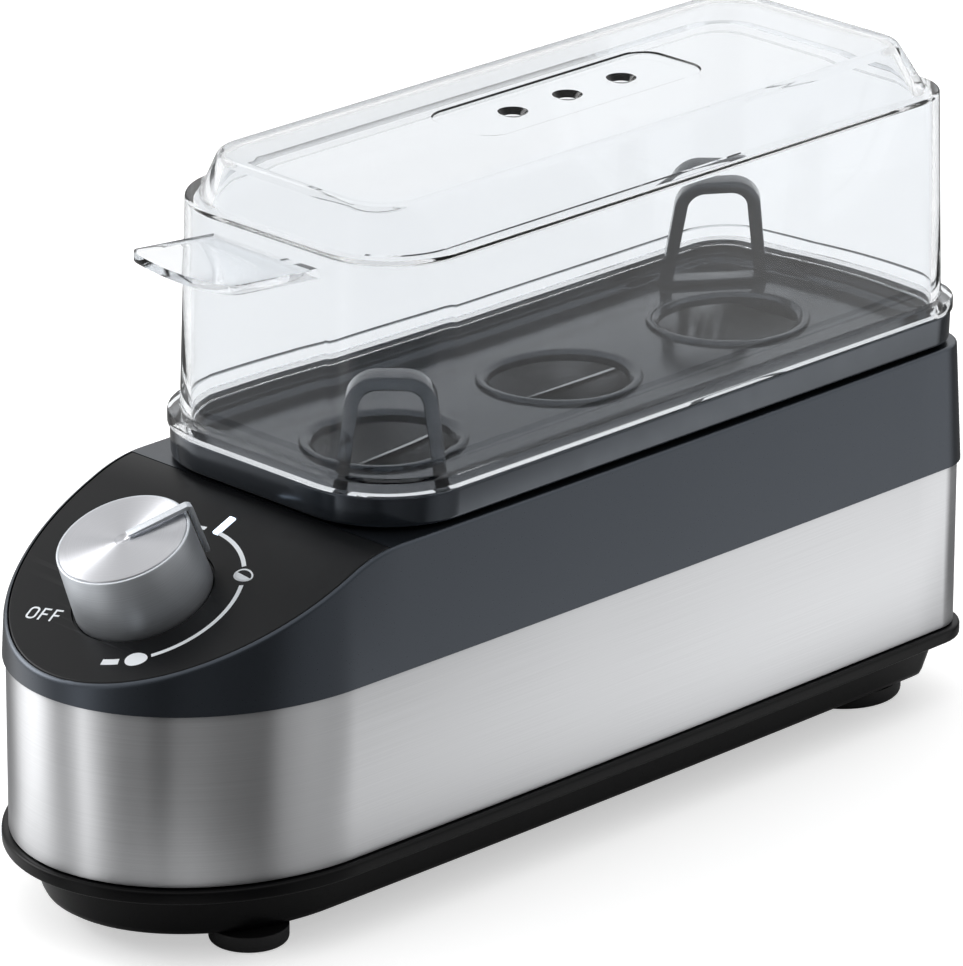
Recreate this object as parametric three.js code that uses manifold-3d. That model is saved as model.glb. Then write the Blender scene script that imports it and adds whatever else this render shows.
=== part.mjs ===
import * as THREE from 'three';
import { mergeVertices } from 'three/addons/utils/BufferGeometryUtils.js';
import Module from 'manifold-3d';

// Electric egg boiler for three eggs in a row, in millimetres.
// The origin is on the table under the middle, +X runs to the rear, +Y to the far side, +Z up.

const wasm = await Module();
wasm.setup();

// Fits and cuts
const fit = 0.3; // gap between pieces that touch
const overrun = 1; // how far a cut runs past the face that it opens
const root = 0.6; // how far a joined detail is let into its carrier
const weld = 0.000731; // points nearer than this are one

// Plan of the body, read at the steel band
const bandLength = 240;
const bandWidth = 82;
const bandHeight = 38;
const bandSheet = 0.8;
const noseLength = 47.6; // half ellipse at the front
const rearCorner = 9.8;
const sideBulge = 1.1; // the long sides bow out this much over half the length
const bulgeCentreX = 4.5;

// Base pan
const footHeight = 3.7;
const panDrop = 14.25; // from the steel's lower edge to the pan's underside
const panWall = 2.2;
const panFloor = 2.4;
const flangeReach = 1.5;
const flangeHeight = 2.9;
const flangeBevel = 0.8;
const panShoulderInset = 3.8;
const panFootInset = 6.5;
const panRound = 2.9;
const ventWidth = 2.4;
const ventLength = 26;
const ventPitch = 8;
const ventCount = 5;

// Feet
const frontFootRadius = 8.5;
const rearFootGap = 9; // between the two rear feet
const rearFootMargin = 3; // from the pan's lower edge
const footRound = 1.2;
const footPegRadius = 2.4;
const footPegHeight = 4.2;
const frontFootFromEnd = 32.7; // foot centres from the band's ends and sides
const frontFootFromSide = 16.4;
const rearFootFromEnd = 18.5;

// Upper housing
const deckRise = 27.9; // from the steel's upper edge to the deck
const housingOverhang = 0.75; // past the steel at the lower edge
const housingLean = 1.45; // how far the side walls lean in up to the deck
const housingWall = 3.2;
const deckSlab = 4.6;
const lipWall = 1.4;
const lipDrop = 6.6;
const lipLedge = 2;

// Control panel
const panelTiltDegrees = 22.3;
const panelBlendRadius = 35;
const fasciaThick = 2;
const fasciaMargin = 1.1; // rim of the housing left round the fascia
const fasciaEndInset = 1.2; // behind the front of the tray's collar
const knobFromFront = 26.5; // the knob's axis in the panel, from the band's front and its upper edge
const knobOverSteel = 15.75;

// Knob
const knobRadius = 15;
const knobTopRadius = 14.4;
const knobHeight = 14.5;
const knobSkin = 1.6;
const knobEdge = 0.6;
const knobBossRadius = 5;
const knobWellDepth = 1;
const capRadius = 13.5;
const capThick = 0.9;
const capProud = 0.3;
const capDimpleRadius = 1.6;
const capDimple = 0.4;
const pointerWidth = 2.4;
const pointerThick = 1.1;
const pointerDrop = 11.6;
const pointerTurnDegrees = -27; // from straight to the rear, towards the near side
const spindleRadius = 3;
const spindleFlat = 1; // depth of the flat on the spindle
const spindleReach = 9;
const bushRadius = 4.4;
const nutRadius = 6.2;
const nutHeight = 1.8;

// Light bar in the panel
const lensInner = 21.4; // from the knob's axis
const lensLength = 5.6;
const lensWidth = 1.7;
const lensSide = -0.8;
const lensProud = 0.2;
const lensDepth = 6;
const ledRadius = 1.5;

// Control board, parallel to the panel
const boardDepth = 13.6; // panel surface to the board's upper face
const boardThick = 1.6;
const boardFront = -17;
const boardRear = 31;
const boardHalf = 20;
const postRadius = 2.6;
const postFrontU = -12;
const postRearU = 27;
const postV = 15.5;
const boardScrewRadius = 1.1;
const boardScrewLength = 6;
const regulatorSize = 15;
const buzzerRadius = 5.2;
const buzzerU = 15;
const buzzerV = 11;
const relayLength = 19;
const relayWidth = 15;
const relayHeight = 14;
const relayU = 9;
const relayV = 9;
const capacitorRadius = 4;
const capacitorHeight = 12;
const capacitorU = -4;
const capacitorV = -11;
const terminalLength = 9;
const terminalWidth = 17;
const terminalHeight = 9;
const terminalU = 25;
const terminalV = -4.2;

// Egg tray
const collarFromFront = 58.3; // setbacks from the band's ends and sides
const collarFromRear = 1.3;
const collarFromSide = 1.9;
const collarFrontRadius = 21.8;
const collarRearRadius = 11.4;
const collarHeight = 6.6;
const collarGap = 0.8; // shadow gap over the deck
const collarRound = 1.2;
const trayFloor = 1.8;
const rimWidth = 2.5;
const trayLedgeDrop = 3.8;
const trayLedgeWidth = 2.1;
const trayLedgeDraft = 0.5;
const traySkirt = 1.3;
const traySkirtDrop = 3.7;
const seatCount = 3;
const seatPitch = 53;
const seatRadius = 16.5;
const seatLip = 1.6;
const seatLipHeight = 1;
const rowShift = 0.9; // the row's middle lies behind the tray's

// Tray handles
const handleWidth = 24.4; // across the feet
const handleTopWidth = 19.6;
const handleBar = 3;
const handleThick = 6.4;
const handleTopRadius = 7;
const handleRise = 27.3; // over the tray's floor
const handleFromFront = 18.2; // centre of the handle from the collar's front and near faces
const handleFromSide = 16.8;
const handleTenon = 1.1; // depth of the legs' tenons in the floor

// Water dish and what heats it
const dishFromCollarEnd = 15.7; // setbacks of the dish from the tray's collar
const dishFromCollarSide = 11.9;
const dishCorner = 12;
const dishSheet = 0.8;
const dishFlange = 5.4;
const dishFlangeThick = 1;
const dishDepth = 16;
const dishDraft = 2.4;
const dishRound = 2;
const sealThick = 0.7;
const sealWidth = 3.2;
const spreaderFromEnd = 10.5; // setbacks of the spreader from the dish
const spreaderThick = 3;
const spreaderCorner = 6;
const elementRadius = 3.2;
const elementFromRear = 13.5; // the bend's outer edge from the spreader's rear
const elementTail = 5.5; // cold ends past the spreader's front
const clampThick = 2;
const clampLength = 9;
const clampInset = 34; // from the spreader's ends
const clampScrewGap = 2.6; // from the heater's legs to the screws' axes
const clampScrewFromSide = 3.2; // from the spreader's sides
const clampScrewRadius = 1.5;
const thermostatRadius = 7.5;
const thermostatHeight = 6;
const thermostatGap = 0.8; // to the heater's legs
const fuseRadius = 2;
const fuseLength = 12;
const fuseX = 4;
const leadRadius = 1.3;
const sensorLeadRadius = 0.9;

// Screws that hold the pan to the housing
const baseScrewFromFront = 64;
const baseScrewFromRear = 12;
const baseScrewFromSide = 17;
const baseScrewRadius = 1.5;
const baseScrewLength = 16;
const screwHeadShare = 2; // head radius over shank radius
const screwHeadHeight = 2;
const housingBossRadius = 2.9;
const panBossRadius = 4;
const panBossHeight = 20;

// Cord gland in the rear wall
const glandZ = 30;
const glandBore = 3.6;
const glandNeck = 5.6;
const glandFlange = 8;
const glandOuter = 1.1;
const glandInner = 2;

// Lid
const brimReach = 0.5; // past the collar
const brimHeight = 3.2;
const brimRound = 0.6;
const lidFootSide = 1.7; // setbacks from the collar at the wall's foot
const lidFootFront = 3;
const lidFootRear = 1.4;
const lidShoulderSide = 2.7; // the same where the wall ends
const lidShoulderFront = 4;
const lidShoulderRear = 2.25;
const lidShoulderZ = 140.7;
const shoulderRound = 1.5;
const shoulderLedge = 1.5;
const lidTopSide = 11.6;
const lidTopFront = 10.5;
const lidTopRear = 8.2;
const lidTopZ = 152.2;
const lidTopDrop = 1.3;
const lidTopRound = 2;
const lidTopFrontRadius = 9.4;
const lidTopRearRadius = 7.7;
const lidWall = 1.8;
const spigotDrop = 1.2;
const recessLength = 68;
const recessWidth = 21;
const recessCorner = 6;
const recessDepth = 0.6;
const steamHoleRadius = 2.5;
const steamSink = 1.1;
const steamPitch = 16.5;
const steamCount = 3;
const steamShift = 1.5; // the recess and its holes lie behind the row's middle
const tabHalfWidth = 15.5;
const tabReach = 24;
const tabThick = 2;
const tabCorner = 4;
const tabLift = 2.2;
const tabDish = 1;
const tabBelowShoulder = 2.6;

// How finely round shapes are cut
const noseSteps = 11;
const sideSteps = 3;
const cornerSteps = 5;
const roundSides = 28;
const smallSides = 12;
const screwSides = 10;
const hairpinSteps = 30;
const hairpinSides = 8;
const leadSteps = 12;
const leadSides = 6;

// Places that follow
const panelTilt = THREE.MathUtils.degToRad(panelTiltDegrees);
const pointerTurn = THREE.MathUtils.degToRad(pointerTurnDegrees);
const bandFront = -bandLength / 2;
const bandRear = bandLength / 2;
const bandHalf = bandWidth / 2;
const knobX = bandFront + knobFromFront;
const collarFront = bandFront + collarFromFront;
const collarRear = bandRear - collarFromRear;
const collarHalf = bandHalf - collarFromSide;
const rowCentreX = (collarFront + collarRear) / 2 + rowShift;
const dishHalfLength = (collarRear - collarFront) / 2 - dishFromCollarEnd;
const dishHalfWidth = collarHalf - dishFromCollarSide;
const spreaderFront = rowCentreX - dishHalfLength + spreaderFromEnd;
const spreaderRear = rowCentreX + dishHalfLength - spreaderFromEnd;
const elementHalfWidth = thermostatRadius + thermostatGap + elementRadius;
const clampScrewV = elementHalfWidth + elementRadius + clampScrewGap;
const spreaderHalf = clampScrewV + clampScrewFromSide;
const elementRearX = spreaderRear - elementFromRear;
const elementFrontX = spreaderFront - elementTail;

// Heights that follow
const panBottom = footHeight + fit;
const steelBottom = panBottom + panDrop;
const steelTop = steelBottom + bandHeight;
const knobZ = steelTop + knobOverSteel;
const housingBottom = steelTop + fit;
const deckTop = steelTop + deckRise;
const trayUnderside = deckTop + fit;
const trayFloorTop = trayUnderside + trayFloor;
const collarBottom = deckTop + collarGap;
const collarTop = collarBottom + collarHeight;
const dishFlangeTop = deckTop - fit;
const dishFlangeBottom = dishFlangeTop - dishFlangeThick;
const rebateFloor = dishFlangeBottom - fit - sealThick - fit;
const dishUnderside = dishFlangeTop - dishDepth;
const spreaderTop = dishUnderside - fit;
const elementZ = spreaderTop - spreaderThick - fit - elementRadius;

const finish = (color, roughness, metalness, extra = {}) =>
  new THREE.MeshStandardMaterial({ color, roughness, metalness, ...extra });
const finishes = {
  blackPlastic: () => finish('#1b1c1e', 0.45, 0),
  greyPlastic: () => finish('#45484e', 0.5, 0),
  fascia: () => finish('#2b2c30', 0.4, 0),
  brushedSteel: () => finish('#c6c7ca', 0.3, 1),
  knobMetal: () => finish('#b7b9be', 0.35, 1),
  spunMetal: () => finish('#d2d3d7', 0.25, 1),
  trayPlastic: () => finish('#3a3e45', 0.35, 0),
  clear: () => finish('#eef1f3', 0.05, 0, { transparent: true, opacity: 0.35 }),
  rubber: () => finish('#151515', 0.8, 0),
  silicone: () => finish('#b9b4a8', 0.6, 0),
  aluminium: () => finish('#a9adb2', 0.4, 1),
  zinc: () => finish('#b4b0a6', 0.35, 1),
  board: () => finish('#1f5a35', 0.5, 0),
  component: () => finish('#20252c', 0.5, 0),
  relayBlue: () => finish('#24518a', 0.45, 0),
  insulation: () => finish('#c8c2b4', 0.6, 0),
  light: () => finish('#e6f3ff', 0.2, 0),
};

// Points of the body's plan, drawn in by inset all round
function planOutline(inset) {
  const front = bandFront + inset;
  const rear = bandRear - inset;
  const nose = noseLength - inset;
  const corner = Math.max(rearCorner - inset, fit);
  const half = (x) => bandHalf - inset - sideBulge * ((x - bulgeCentreX) / bandRear) ** 2;
  const near = [];
  for (let i = 0; i <= noseSteps; i += 1) {
    const angle = (i / noseSteps) * (Math.PI / 2);
    const x = front + nose * (1 - Math.cos(angle));
    near.push([x, -half(x) * Math.sin(angle)]);
  }
  const cornerX = rear - corner;
  for (let i = 1; i <= sideSteps; i += 1) {
    const x = THREE.MathUtils.lerp(front + nose, cornerX, i / sideSteps);
    near.push([x, -half(x)]);
  }
  for (let i = 1; i <= cornerSteps; i += 1) {
    const angle = (i / cornerSteps) * (Math.PI / 2);
    near.push([cornerX + corner * Math.sin(angle), -half(cornerX) + corner * (1 - Math.cos(angle))]);
  }
  const far = near.slice(1).reverse().map(([x, y]) => [x, -y]);
  return [...near, ...far];
}

// Points of a rounded oblong whose front and rear corners differ
function oblong({ front, rear, half, frontRadius, rearRadius }) {
  const corners = [
    [front + frontRadius, -half + frontRadius, frontRadius, Math.PI],
    [rear - rearRadius, -half + rearRadius, rearRadius, 1.5 * Math.PI],
    [rear - rearRadius, half - rearRadius, rearRadius, 0],
    [front + frontRadius, half - frontRadius, frontRadius, 0.5 * Math.PI],
  ];
  return corners.flatMap(([x, y, radius, start]) =>
    Array.from({ length: cornerSteps + 1 }, (_, i) => {
      const angle = start + (i / cornerSteps) * (Math.PI / 2);
      return [x + radius * Math.cos(angle), y + radius * Math.sin(angle)];
    }));
}

// Outline of the tray's collar, set back by its own amount at the front, the sides and the rear
function collarOutline(side, front = side, rear = side, radii = {}) {
  return oblong({
    front: collarFront + front,
    rear: collarRear - rear,
    half: collarHalf - side,
    frontRadius: Math.max(radii.front ?? collarFrontRadius - side, fit),
    rearRadius: Math.max(radii.rear ?? collarRearRadius - side, fit),
  });
}

// Outline of the water dish, drawn in by inset
function dishOutline(inset) {
  return oblong({
    front: rowCentreX - dishHalfLength + inset,
    rear: rowCentreX + dishHalfLength - inset,
    half: dishHalfWidth - inset,
    frontRadius: Math.max(dishCorner - inset, fit),
    rearRadius: Math.max(dishCorner - inset, fit),
  });
}

const lift = (outline, z) => outline.map(([x, y]) => new THREE.Vector3(x, y, z));

// Closed body through rings of as many points each; a looped one has no caps
function loft(rings, looped = false) {
  const count = rings[0].length;
  const points = rings.flat();
  const triangles = [];
  const spans = looped ? rings.length : rings.length - 1;
  for (let r = 0; r < spans; r += 1) {
    const here = r * count;
    const next = ((r + 1) % rings.length) * count;
    for (let i = 0; i < count; i += 1) {
      const j = (i + 1) % count;
      triangles.push([here + i, here + j, next + j], [here + i, next + j, next + i]);
    }
  }
  if (!looped) {
    const firstHub = points.length;
    const lastHub = firstHub + 1;
    const lastRing = (rings.length - 1) * count;
    const middle = (ring) => ring.reduce((sum, p) => sum.add(p), new THREE.Vector3()).divideScalar(count);
    points.push(middle(rings[0]), middle(rings[rings.length - 1]));
    for (let i = 0; i < count; i += 1) {
      const j = (i + 1) % count;
      triangles.push([firstHub, j, i], [lastHub, lastRing + i, lastRing + j]);
    }
  }
  const volume = triangles.reduce((sum, [a, b, c]) =>
    sum + points[a].dot(new THREE.Vector3().crossVectors(points[b], points[c])), 0);
  const facing = volume < 0 ? triangles.map(([a, b, c]) => [a, c, b]) : triangles;
  const geometry = new THREE.BufferGeometry().setFromPoints(points);
  geometry.setIndex(facing.flat());
  return geometry;
}

// Ring or tub from a table of inset and height pairs
const shellOf = (outline, levels, looped) => loft(levels.map(([inset, z]) => lift(outline(inset), z)), looped);

function toSolid(geometry) {
  const bare = geometry.clone();
  bare.deleteAttribute('normal');
  bare.deleteAttribute('uv');
  const merged = mergeVertices(bare, weld);
  return new wasm.Manifold(new wasm.Mesh({
    numProp: 3,
    vertProperties: new Float32Array(merged.attributes.position.array),
    triVerts: new Uint32Array(merged.index.array),
  }));
}

function toGeometry(solid) {
  const { vertProperties, triVerts } = solid.getMesh();
  const geometry = new THREE.BufferGeometry();
  geometry.setAttribute('position', new THREE.BufferAttribute(vertProperties, 3));
  geometry.setIndex(new THREE.BufferAttribute(triVerts, 1));
  return geometry;
}

const join = (first, ...others) => others.reduce((sum, other) => sum.add(toSolid(other)), toSolid(first));
const cut = (solid, ...tools) => tools.reduce((rest, tool) => rest.subtract(toSolid(tool)), solid);

// Upright cylinder between two heights; a second radius makes it a cone
function post(radius, bottom, top, x = 0, y = 0, sides = roundSides, topRadius = radius) {
  return new THREE.CylinderGeometry(topRadius, radius, top - bottom, sides)
    .rotateX(Math.PI / 2)
    .translate(x, y, (top + bottom) / 2);
}

function block(x0, x1, y0, y1, z0, z1) {
  return new THREE.BoxGeometry(x1 - x0, y1 - y0, z1 - z0)
    .translate((x0 + x1) / 2, (y0 + y1) / 2, (z0 + z1) / 2);
}

// Body of revolution about Z from radius and height pairs
function turned(profile, sides = roundSides) {
  return new THREE.LatheGeometry(profile.map(([r, z]) => new THREE.Vector2(r, z)), sides).rotateX(Math.PI / 2);
}

// Flat outline given a thickness between two heights
function plate(outline, bottom, top) {
  return loft([lift(outline, bottom), lift(outline, top)]);
}

// Side view points (x, z) carried across the body's width
function sideView(points) {
  const shape = new THREE.Shape(points.map(([x, z]) => new THREE.Vector2(x, z)));
  const width = bandWidth + 2 * overrun + 2 * flangeReach;
  return new THREE.ExtrudeGeometry(shape, { depth: width, bevelEnabled: false })
    .rotateX(Math.PI / 2)
    .translate(0, width / 2, 0);
}

// Screw with its head at the bottom and its shank pointing up
function screw(radius, length) {
  const head = radius * screwHeadShare;
  return turned([
    [0, -screwHeadHeight],
    [head * 0.6, -screwHeadHeight],
    [head, -screwHeadHeight / 2],
    [head, 0],
    [radius, 0],
    [radius, length - radius],
    [radius / 2, length],
    [0, length],
  ], screwSides);
}

// Round rod along a curve
function rod(curve, radius, steps, sides) {
  const section = new THREE.Shape(Array.from({ length: sides }, (_, i) => {
    const angle = (i / sides) * 2 * Math.PI;
    return new THREE.Vector2(radius * Math.cos(angle), radius * Math.sin(angle));
  }));
  return new THREE.ExtrudeGeometry(section, { steps, bevelEnabled: false, extrudePath: curve });
}

const boiler = new THREE.Group();
function piece(name, body, material, parent = boiler) {
  const geometry = body.isBufferGeometry ? body : toGeometry(body);
  geometry.computeVertexNormals();
  const mesh = new THREE.Mesh(geometry, material);
  mesh.name = name;
  parent.add(mesh);
  return mesh;
}

// Panel frame: its origin is where the knob's axis meets the panel, its Z is the panel's normal
const panelFrame = new THREE.Group();
panelFrame.position.set(knobX, 0, knobZ);
panelFrame.rotation.y = -panelTilt;
panelFrame.updateMatrix();
boiler.add(panelFrame);
const onPanel = (geometry) => geometry.applyMatrix4(panelFrame.matrix);

// Side view of the sloped panel up to the deck, shifted down by depth
const panelMeetsDeckX = knobX + (deckTop - knobZ) / Math.tan(panelTilt);
const blendReach = panelBlendRadius * Math.tan(panelTilt / 2);
function panelLine(depth) {
  const points = [];
  const startX = bandFront - flangeReach - overrun;
  points.push([startX, knobZ + (startX - knobX) * Math.tan(panelTilt) - depth]);
  const centreX = panelMeetsDeckX + blendReach;
  for (let i = 0; i <= cornerSteps; i += 1) {
    const angle = panelTilt * (1 - i / cornerSteps);
    points.push([
      centreX - panelBlendRadius * Math.sin(angle),
      deckTop - panelBlendRadius * (1 - Math.cos(angle)) - depth,
    ]);
  }
  return points;
}

// Body of the housing between its lower edge and a line below the panel and deck
function housingBlock(margin, depth, bottom) {
  const rear = bandRear + flangeReach + overrun;
  const leanRings = loft([
    lift(planOutline(margin - housingOverhang), bottom),
    lift(planOutline(margin - housingOverhang + housingLean), deckTop),
  ]);
  const top = panelLine(depth);
  const view = sideView([...top, [rear, deckTop - depth], [rear, bottom - overrun], [top[0][0], bottom - overrun]]);
  return toSolid(leanRings).intersect(toSolid(view));
}

// Base pan: flange, tapered body and the tub wall that the steel wraps
const tubInset = bandSheet + fit;
const tubTop = housingBottom - fit;
const flangeTop = steelBottom - fit;
const flangeBottom = flangeTop - flangeHeight;
const baseScrewY = bandHalf - baseScrewFromSide;
const baseScrews = [bandFront + baseScrewFromFront, bandRear - baseScrewFromRear]
  .flatMap((x) => [-baseScrewY, baseScrewY].map((y) => [x, y]));
const frontFootX = bandFront + frontFootFromEnd;
const frontFootY = bandHalf - frontFootFromSide;
const rearFootX = bandRear - rearFootFromEnd;
const rearFootRadius = (bandHalf - panFootInset - rearFootMargin - rearFootGap / 2) / 2;
const rearFootY = rearFootGap / 2 + rearFootRadius;
const feet = [
  ['front_near', frontFootX, -frontFootY, frontFootRadius],
  ['front_far', frontFootX, frontFootY, frontFootRadius],
  ['rear_near', rearFootX, -rearFootY, rearFootRadius],
  ['rear_far', rearFootX, rearFootY, rearFootRadius],
];
const panFloorTop = panBottom + panFloor;
const baseHeadSeat = panBottom + panBossHeight - 2 * screwHeadHeight;
const glandHole = (radius) => post(radius, bandRear - glandInner - panWall - glandFlange,
  bandRear + overrun).rotateY(Math.PI / 2).translate(0, 0, glandZ);

function basePan() {
  const tub = shellOf(planOutline, [
    [panFootInset + panRound, panBottom],
    [panFootInset + panRound / 4, panBottom + panRound / 3],
    [panFootInset, panBottom + panRound],
    [panShoulderInset, flangeBottom],
    [-flangeReach, flangeBottom],
    [-flangeReach, flangeTop - flangeBevel],
    [-flangeReach + flangeBevel, flangeTop],
    [tubInset, flangeTop],
    [tubInset, tubTop],
    [tubInset + panWall, tubTop],
    [tubInset + panWall, flangeTop],
    [panShoulderInset + panWall, flangeBottom],
    [panFootInset + panWall, panFloorTop + panRound / 2],
    [panFootInset + panRound, panFloorTop],
  ]);
  const bosses = baseScrews.map(([x, y]) =>
    post(panBossRadius, panBottom + root, panBottom + panBossHeight, x, y, smallSides));
  const ways = baseScrews.flatMap(([x, y]) => [
    post(baseScrewRadius + fit, panBottom, panBottom + panBossHeight + overrun, x, y, smallSides),
    post(baseScrewRadius * screwHeadShare + fit, panBottom - overrun, baseHeadSeat, x, y, smallSides),
  ]);
  const pegs = feet.map(([, x, y]) =>
    post(footPegRadius + fit, panBottom - overrun, panFloorTop + overrun, x, y, smallSides));
  const vents = Array.from({ length: ventCount }, (_, i) => {
    const x = (i - (ventCount - 1) / 2) * ventPitch;
    return block(x - ventWidth / 2, x + ventWidth / 2, -ventLength / 2, ventLength / 2,
      panBottom - overrun, panFloorTop + overrun);
  });
  return cut(join(tub, ...bosses), ...ways, ...pegs, ...vents, glandHole(glandNeck + fit));
}
piece('base_pan', basePan(), finishes.blackPlastic());

feet.forEach(([place, x, y, radius]) => {
  const foot = turned([
    [0, 0],
    [radius - footRound, 0],
    [radius, footRound],
    [radius, footHeight],
    [footPegRadius, footHeight],
    [footPegRadius, footHeight + footPegHeight],
    [0, footHeight + footPegHeight],
  ], roundSides);
  piece(`foot_${place}`, foot, finishes.rubber()).position.set(x, y, 0);
});

baseScrews.forEach(([x, y], i) => {
  piece(`base_screw_${i + 1}`, screw(baseScrewRadius, baseScrewLength), finishes.zinc())
    .position.set(x, y, baseHeadSeat - fit);
});

// Steel band round the tub
const band = toSolid(shellOf(planOutline, [
  [0, steelBottom], [0, steelTop], [bandSheet, steelTop], [bandSheet, steelBottom],
], true));
piece('steel_band', cut(band, glandHole(glandNeck + fit)), finishes.brushedSteel());

// Cord gland, its axis along X
const glandInnerFace = bandRear - tubInset - panWall - fit;
const glandOuterFace = bandRear + fit;
piece('cord_gland', turned([
  [glandBore, glandInnerFace - glandInner],
  [glandFlange, glandInnerFace - glandInner],
  [glandFlange, glandInnerFace],
  [glandNeck, glandInnerFace],
  [glandNeck, glandOuterFace],
  [glandFlange, glandOuterFace],
  [glandFlange, glandOuterFace + glandOuter],
  [glandBore, glandOuterFace + glandOuter],
  [glandBore, glandInnerFace - glandInner],
], roundSides).rotateY(Math.PI / 2), finishes.rubber()).position.z = glandZ;

// Upper housing with the deck, the seat of the dish and the bed of the fascia
const bedDepth = fasciaThick + fit;
const fasciaEndX = collarFront + fasciaEndInset;
const boardTop = -boardDepth;
const slabUnderside = -(bedDepth + housingWall - fit) * Math.cos(panelTilt);
const boardPosts = [postFrontU, postRearU].flatMap((u) => [-postV, postV].map((v) => [u, v]));
const lensMiddle = lensInner + lensLength / 2;
const lensBlock = (gap, bottom, top) => block(lensMiddle - lensLength / 2 - gap, lensMiddle + lensLength / 2 + gap,
  lensSide - lensWidth / 2 - gap, lensSide + lensWidth / 2 + gap, bottom, top);
const cavityTop = (x) => Math.min(deckTop - deckSlab,
  knobZ + (x - knobX) * Math.tan(panelTilt) - bedDepth - housingWall);

function upperHousing() {
  const wallRear = bandRear + flangeReach + overrun;
  const outer = housingBlock(0, 0, housingBottom);
  const slope = panelLine(bedDepth + housingWall).filter(([, z]) => z < deckTop - deckSlab);
  const slabX = knobX + (deckTop - deckSlab + bedDepth + housingWall - knobZ) / Math.tan(panelTilt);
  const hollowPlan = loft([
    lift(planOutline(housingWall - housingOverhang), housingBottom - overrun),
    lift(planOutline(housingWall - housingOverhang + housingLean), deckTop),
  ]);
  const hollowView = sideView([
    slope[0],
    [Math.min(slabX, panelMeetsDeckX + blendReach), deckTop - deckSlab],
    [wallRear, deckTop - deckSlab],
    [wallRear, housingBottom - 2 * overrun],
    [slope[0][0], housingBottom - 2 * overrun],
  ]);
  const hollow = toSolid(hollowPlan).intersect(toSolid(hollowView));
  const bedView = sideView([
    ...panelLine(bedDepth).filter(([x]) => x < fasciaEndX),
    [fasciaEndX + fit, deckTop - bedDepth],
    [fasciaEndX + fit, deckTop + overrun],
    [slope[0][0], deckTop + overrun],
  ]);
  const bedPlan = loft([
    lift(planOutline(fasciaMargin - housingOverhang - fit), housingBottom),
    lift(planOutline(fasciaMargin - housingOverhang + housingLean - fit), deckTop),
    lift(planOutline(fasciaMargin - housingOverhang + housingLean - fit), deckTop + overrun),
  ]);
  const bed = toSolid(bedPlan).intersect(toSolid(bedView));
  const lipInset = tubInset + panWall + fit;
  const lip = shellOf(planOutline, [
    [lipInset, housingBottom - lipDrop],
    [lipInset, housingBottom],
    [housingWall - housingOverhang - root, housingBottom],
    [housingWall - housingOverhang - root, housingBottom + lipLedge],
    [lipInset + lipWall, housingBottom + lipLedge],
    [lipInset + lipWall, housingBottom - lipDrop],
  ], true);
  const bosses = baseScrews.map(([x, y]) => post(housingBossRadius, panBottom + panBossHeight + fit,
    cavityTop(x - housingBossRadius) + root, x, y, smallSides));
  const posts = boardPosts.map(([u, v]) =>
    onPanel(post(postRadius, boardTop + fit, slabUnderside + root, u, v, smallSides)));
  const shell = outer.subtract(hollow).subtract(bed);
  const carried = [lip, ...bosses, ...posts].reduce((sum, part) => sum.add(toSolid(part)), shell);
  const screwEnd = baseHeadSeat + baseScrewLength;
  return cut(
    carried,
    plate(dishOutline(-dishFlange - fit), rebateFloor, deckTop + overrun),
    plate(dishOutline(-fit), deckTop - deckSlab - overrun, deckTop + overrun),
    onPanel(post(bushRadius + fit, -deckSlab - housingWall - overrun, overrun)),
    onPanel(post(nutRadius + fit, -knobWellDepth - bedDepth, overrun)),
    onPanel(lensBlock(fit, -deckSlab - housingWall, overrun)),
    ...boardPosts.map(([u, v]) => onPanel(post(boardScrewRadius + fit, boardTop - overrun,
      boardTop + boardScrewLength, u, v, smallSides))),
    ...baseScrews.map(([x, y]) => post(baseScrewRadius + fit, panBottom + panBossHeight - overrun,
      screwEnd + fit, x, y, smallSides)),
  );
}
piece('upper_housing', upperHousing(), finishes.greyPlastic());

function controlPanel() {
  const bedTop = panelLine(0);
  const skin = housingBlock(fasciaMargin, 0, housingBottom);
  const under = panelLine(fasciaThick).filter(([x]) => x < fasciaEndX);
  const below = sideView([
    ...under,
    [fasciaEndX, deckTop - fasciaThick],
    [bandRear + flangeReach + overrun, deckTop - fasciaThick],
    [bandRear + flangeReach + overrun, housingBottom - 2 * overrun],
    [bedTop[0][0], housingBottom - 2 * overrun],
  ]);
  const behind = block(fasciaEndX, bandRear + flangeReach + overrun, -bandWidth, bandWidth,
    housingBottom, deckTop + overrun);
  return cut(
    skin,
    below,
    behind,
    onPanel(post(knobRadius + 2 * fit, -knobWellDepth, overrun, 0, 0, roundSides)),
    onPanel(post(nutRadius + fit, -deckSlab, overrun)),
    onPanel(lensBlock(fit, -deckSlab, overrun)),
  );
}
piece('control_panel', controlPanel(), finishes.fascia());

// Knob, drawn in the panel frame and turned to where its pointer stands
const knob = new THREE.Group();
knob.rotation.z = pointerTurn;
panelFrame.add(knob);
const knobFoot = -knobWellDepth + fit;
const capSeat = knobHeight - capThick + capProud;
const knobRoof = capSeat - fit - knobSkin;
const spindle = (radius, bottom, top) => cut(
  toSolid(post(radius, bottom, top)),
  block(radius - spindleFlat, radius + overrun, -radius, radius, bottom - overrun, top + overrun),
);
const knobCup = turned([
  [0, knobRoof],
  [knobTopRadius - knobSkin, knobRoof],
  [knobRadius - knobSkin, knobFoot],
  [knobRadius, knobFoot],
  [knobTopRadius + knobEdge / 4, knobHeight - knobEdge],
  [knobTopRadius - knobEdge / 2, knobHeight],
  [capRadius + fit, knobHeight],
  [capRadius + fit, capSeat - fit],
  [0, capSeat - fit],
]);
const knobBoss = post(knobBossRadius, nutHeight + 2 * fit, knobRoof + root);
const spindleTop = Math.min(spindleReach, knobRoof - fit);
piece('knob_shell', join(knobCup, knobBoss)
  .subtract(spindle(spindleRadius + fit, nutHeight, spindleTop + fit)), finishes.knobMetal(), knob);
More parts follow.
